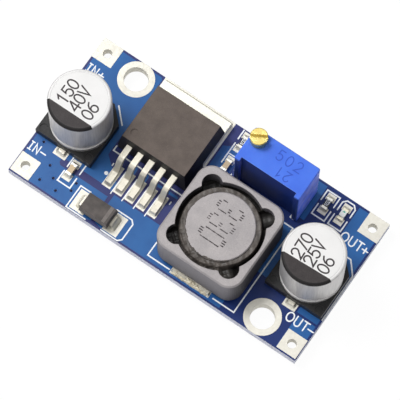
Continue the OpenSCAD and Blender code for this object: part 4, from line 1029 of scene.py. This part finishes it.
def add_glue():
    """Glue round the core: a shelf at the flange, a trough at the bore, and lumps at the front.

    In polar terms about the core, the height is a shelf that falls to the trough by a smooth step in
    the radius, deeper in the bore's four lobes, plus crossing sine waves that are strongest at the front.
    """
    flange = 4.4
    bore = (SHIELD_HIGH[0] - SHIELD_LOW[0]) / 2 - 0.55
    lobe, lobe_r = 3.85 * math.sqrt(2), 1.3
    a = np.linspace(0, 2 * math.pi, 480, endpoint=False)[:, None]
    to_lobe = (a - math.pi / 4) % (math.pi / 2)
    to_lobe = np.minimum(to_lobe, math.pi / 2 - to_lobe)
    root = lobe_r**2 - (lobe * np.sin(to_lobe)) ** 2
    outer = np.where(root > 0, lobe * np.cos(to_lobe) + np.sqrt(np.maximum(root, 0)), 0)
    outer = np.maximum(outer, bore) - 0.02
    u = np.linspace(0, 1, 36)[None, :]
    r = flange - 0.15 + (outer - flange + 0.15) * u
    x, y = CORE[0] + r * np.cos(a), CORE[1] + r * np.sin(a)

    def ease(v, low, high):
        t = np.clip((v - low) / (high - low), 0, 1)
        return t * t * (3 - 2 * t)

    front = ease(-np.sin(a + 0.15), 0.35, 0.85)
    right_back = np.exp(-((((a - math.pi / 4 + math.pi) % (2 * math.pi)) - math.pi) / 0.3) ** 2)
    in_lobe = ease(outer, bore + 0.05, bore + 0.5)
    drop = 0.22 + 0.06 * lumpy(1.3 * x, 1.3 * y, 4)
    trough = ease(r, 4.95 + 0.08 * np.sin(3 * a + 1), 5.3) * (1.25 + 1.1 * in_lobe)
    right_front = np.exp(-((((a - 7 * math.pi / 4 + math.pi) % (2 * math.pi)) - math.pi) / 0.3) ** 2)
    trough = trough * (1 - 0.62 * front) * (1 - 0.72 * right_back) * (1 - 0.6 * right_front)
    climb = 0.35 * ease(r, outer - 0.3, outer) * (1 - in_lobe)
    lumps = front * (0.22 * lumpy(1.5 * x, 1.9 * y, 2) * ease(r, 4.5, 4.9) + 0.05)
    z = CORE_TOP - drop - trough + climb + lumps
    z = np.minimum(z, CORE_TOP - 0.05)
    sheet = Sheet()
    sheet.grid(x, y, z, around=True)
    skirt = np.linspace(0, 1, 3)[None, :]
    sheet.grid(x[:, -1:] + 0 * skirt, y[:, -1:] + 0 * skirt,
        z[:, -1:] + (CORE_TOP - 3.2 - z[:, -1:]) * skirt, around=True)
    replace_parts(sheet.piece("core_glue", "dark_glue", "dark_glue", smooth=70), "inductor_glue")

    # Glue that has crept over the core's edge: a low arch from the edge inwards to a ragged line.
    a = np.radians(np.linspace(128, 318, 220))[:, None]
    v = np.linspace(0, 1, 9)[None, :]
    ragged = 0.13 + 0.08 * np.sin(5 * a + 1) + 0.05 * np.sin(13 * a)
    ragged = ragged + 0.035 * np.sin(31 * a + 2) + 0.02 * np.sin(67 * a)
    ragged = np.maximum(ragged, 0.02) * np.sin((a - a[0]) / (a[-1] - a[0]) * math.pi) ** 0.35
    swell = 1 + 1.2 * np.exp(-(((np.degrees(a) - 268) / 14) ** 2))
    r = flange + 0.04 - (ragged * swell + 0.04) * v
    smear = Sheet()
    z = CORE_TOP - 0.012 + 0.05 * np.sin(np.pi * (0.25 + 0.75 * v)) * swell
    smear.grid((CORE[0] + r * np.cos(a))[::-1], (CORE[1] + r * np.sin(a))[::-1], (z + 0 * a)[::-1])
    smear.piece("glue_smear", "dark_glue", "dark_glue", smooth=70)


# ---- Solder ----


def joint(sheet, x, y, turn, half, rise, toe, side, back, seed):
    """Solder round the end of a lead that points along +X before the turn.

    The surface is carried along the lead's foot, down one side, round the toe and up the other. Away
    from the metal it falls as the square of the distance left, so it is hollow like wetted solder.
    """
    straight = np.linspace(-back, 0, 7)
    quarter = np.linspace(90, 0, 6)
    inner = np.vstack([
        np.c_[straight, np.full(7, half)], np.tile([0, half], (6, 1)),
        np.c_[np.zeros(7), np.linspace(half, -half, 7)],
        np.tile([0, -half], (6, 1)), np.c_[straight[::-1], np.full(7, -half)],
    ])
    cq, sq = np.cos(np.radians(quarter)), np.sin(np.radians(quarter))
    away = np.vstack([
        np.tile([0, side], (7, 1)), np.c_[toe * cq, side * sq], np.tile([toe, 0], (7, 1)),
        np.c_[toe * cq[::-1], -side * sq[::-1]], np.tile([0, -side], (7, 1)),
    ])
    fade = np.ones(len(inner))
    fade[:7] = np.sin(np.linspace(0.1, math.pi / 2, 7))
    fade[-7:] = fade[:7][::-1]
    v = np.linspace(-0.12, 1, 12)[None, :]
    px = inner[:, :1] + away[:, :1] * v
    py = inner[:, 1:] + away[:, 1:] * v
    c, s = math.cos(math.radians(turn)), math.sin(math.radians(turn))
    wx, wy = x + c * px - s * py, y + s * px + c * py
    reach = 1 + 0.08 * lumpy(1.5 * wx, 1.5 * wy, seed)
    z = LAND - 0.012 + rise * fade[:, None] * reach * (1 - np.clip(v, 0, 1)) ** 2
    sheet.grid(wx[::-1], wy[::-1], z[::-1])


def add_solder():
    """Hollow solder at every lead, terminal and chip end, and a rough strip on the front terminal."""
    sheet = Sheet()
    for can in ("input_capacitor", "output_capacitor"):
        for lead, s in (("_minus_lead", -1), ("_plus_lead", 1)):
            low, high = span(can + lead)
            y = low[1] if s < 0 else high[1]
            joint(sheet, (low[0] + high[0]) / 2, y, s * 90, 0.45, 0.34, 0.42, 0.36, 0.4, y)
    low, high = span("inductor_back_terminal")
    joint(sheet, (low[0] + high[0]) / 2, high[1], 90, 2.7, 0.32, 0.28, 0.2, 0.3, 1)
    low, high = span("inductor_front_terminal")
    joint(sheet, (low[0] + high[0]) / 2, low[1], -90, 2.7, 0.36, 0.28, 0.2, 0.3, 2)
    for name, s in (("diode_anode_lead", -1), ("diode_cathode_lead", 1)):
        low, high = span(name)
        x = low[0] if s < 0 else high[0]
        joint(sheet, x, (low[1] + high[1]) / 2, 90 - s * 90, 0.72, 0.75, 0.42, 0.3, 0.3, 3 + s)
    for name in ("regulator_lead_1", "regulator_lead_2", "regulator_lead_4", "regulator_lead_5"):
        low, high = span(name)
        joint(sheet, (low[0] + high[0]) / 2, low[1], -90, 0.4, 0.42, 0.4, 0.2, 1.3, low[0])
    joint(sheet, (TAB_LOW[0] + TAB_HIGH[0]) / 2, TAB_LOW[1], -90, 0.4, 0.42, 0.4, 0.2, 1.3, 5)
    joint(sheet, (TAB_LOW[0] + TAB_HIGH[0]) / 2, TAB_HIGH[1], 90, 5.0, 0.7, 0.5, 0.22, 0.3, 6)
    for name in ("input_chip_capacitor_ends", "feedback_chip_capacitor_ends", "feedback_resistor_ends",
        "lamp_resistor_ends", "lamp_ends"):
        low, high = span(name)
        rise = min(0.45, high[2] - LAND)
        for s in (-1, 1):
            y = low[1] if s < 0 else high[1]
            joint(sheet, (low[0] + high[0]) / 2, y, s * 90, (high[0] - low[0]) / 2, rise, 0.42, 0.18,
                0.25, y)
    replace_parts(sheet.piece("lead_solder", "solder", "solder", smooth=60), "solder_fillets")

    # Rough solder along the front terminal: an arch across the strip, wavy along it and sunk in two places.
    low, high = span("inductor_front_terminal")
    u = np.linspace(-1, 1, 141)[:, None]
    v = np.linspace(-1, 1, 21)[None, :]
    x = (low[0] + high[0]) / 2 + 2.62 * u + 0 * v
    y = low[1] + 0.12 + (0.44 + 0.04 * np.sin(11 * u) + 0.02 * np.sin(29 * u)) * v
    sunk = np.exp(-(((u + 0.5) / 0.2) ** 2) - ((v - 0.3) / 0.45) ** 2)
    sunk = sunk + np.exp(-(((u - 0.62) / 0.16) ** 2) - ((v - 0.3) / 0.45) ** 2)
    arch = np.maximum(1 - v**2, 0) ** 0.35 * np.maximum(1 - u**10, 0) ** 0.5
    rise = 0.36 + 0.05 * lumpy(2.4 * x, 2.4 * y, 1) + 0.035 * lumpy(6 * x, 7 * y, 3) - 0.2 * sunk
    strip = Sheet()
    strip.grid(x, y, LAND - 0.015 + rise * arch)
    strip.piece("terminal_solder", "rough_solder", "solder", smooth=70)


# ---- Small marks ----


def add_marks():
    """Faint figures on the trimmer's top, the cathode band of the diode, and the lamp's polarity mark."""
    sheet = Sheet()
    top = TRIM_HIGH[2]
    write(sheet, "502", (TRIM_LOW[0] + 4.1, TRIM_LOW[1] + 2.8), 1.35, 0.14, top - 0.004, top + 0.005, 0,
        1.0)
    write(sheet, "21", (TRIM_LOW[0] + 7.1, TRIM_LOW[1] + 2.25), 1.25, 0.14, top - 0.004, top + 0.005, 180,
        0.95)
    sheet.piece("trimmer_figures", "blue_ink", "trimmer_plastic")

    band = Sheet()
    low, high = span("diode_body")
    lean, z = 0.16, high[2]
    band.plate([(high[0] - 0.95, low[1] + lean), (high[0] - 0.5, low[1] + lean),
        (high[0] - 0.5, high[1] - lean), (high[0] - 0.95, high[1] - lean)], z - 0.004, z + 0.005)
    band.piece("diode_band", "grey_ink", "white_ceramic")

    values = Sheet()
    for name in ("feedback_resistor", "lamp_resistor"):
        x, y, z = *middle(name)[:2], span(name)[1][2]
        write(values, "102", (x + 0.23, y - 0.42), 0.46, 0.07, z - 0.003, z + 0.002, 90, 0.64)
    values.piece("resistor_figures", "white_ink", "lamp_white")

    low, high = span("lamp_base")
    cx, z = (low[0] + high[0]) / 2, span("lamp_lens")[1][2]
    dot = Sheet()
    dot.plate([(cx - 0.22, high[1] - 0.62), (cx + 0.22, high[1] - 0.62), (cx, high[1] - 0.35)], z - 0.003,
        z + 0.004)
    dot.piece("lamp_mark", "green_ink", "lamp_white")


# ---- Stage ----


def add_floor():
    """White floor under the pins, most of its brightness its own, so that shadows stay faint."""
    n = 17
    u = np.linspace(-1, 1, n)
    x, y = np.meshgrid(u * 600, u * 600, indexing="ij")
    z = span("trimmer_pin_1")[0][2] - 0.02
    mesh = bpy.data.meshes.new("floor")
    k = np.arange((n - 1) * n).reshape(n - 1, n)[:, :-1].ravel()
    quads = np.c_[k, k + n, k + n + 1, k + 1]
    mesh.from_pydata((np.c_[x.ravel(), y.ravel(), np.full(n * n, z)] * MM).tolist(), [], quads.tolist())
    mesh.update()
    look = bpy.data.materials.new("floor_white")
    look.use_nodes = True
    tree = look.node_tree
    tree.nodes.clear()
    new, link = tree.nodes.new, tree.links.new
    out, mix, path = new("ShaderNodeOutputMaterial"), new("ShaderNodeMixShader"), new("ShaderNodeLightPath")
    matt, glow = new("ShaderNodeBsdfDiffuse"), new("ShaderNodeEmission")
    matt.inputs["Color"].default_value = (0.8, 0.8, 0.8, 1)
    glow.inputs["Color"].default_value = (1, 1, 1, 1)
    glow.inputs["Strength"].default_value = 1.02
    seen = new("ShaderNodeMath")
    seen.operation = "MAXIMUM"
    link(path.outputs["Is Camera Ray"], seen.inputs[0])
    link(path.outputs["Is Transmission Ray"], seen.inputs[1])
    either = new("ShaderNodeMath")
    either.operation = "MAXIMUM"
    link(seen.outputs[0], either.inputs[0])
    link(path.outputs["Is Glossy Ray"], either.inputs[1])
    share = new("ShaderNodeMath")
    share.operation = "MULTIPLY"
    share.inputs[1].default_value = 0.94
    link(either.outputs[0], share.inputs[0])
    link(share.outputs[0], mix.inputs[0])
    link(matt.outputs[0], mix.inputs[1])
    link(glow.outputs[0], mix.inputs[2])
    link(mix.outputs[0], out.inputs["Surface"])
    mesh.materials.append(look)
    floor = bpy.data.objects.new("floor", mesh)
    bpy.context.scene.collection.objects.link(floor)


bpy.context.scene.view_settings.view_transform = "Standard"
add_camera()
add_world()
add_light("key_light", (-170, 0, 340), 120, 0.80)
add_light("front_light", (-60, -330, 90), 160, 0.06)
add_light("end_light", (300, 120, 150), 140, 0.15)
add_floor()
add_copper()
add_white_print()
add_can_print("input_can", IN_CAN, ("150", "40V", "06"), 1.95, 0.0)
add_can_print("output_can", OUT_CAN, ("270", "25V", "06"), 1.7, 2.4)
add_core_print()
add_glue()
add_solder()
add_marks()
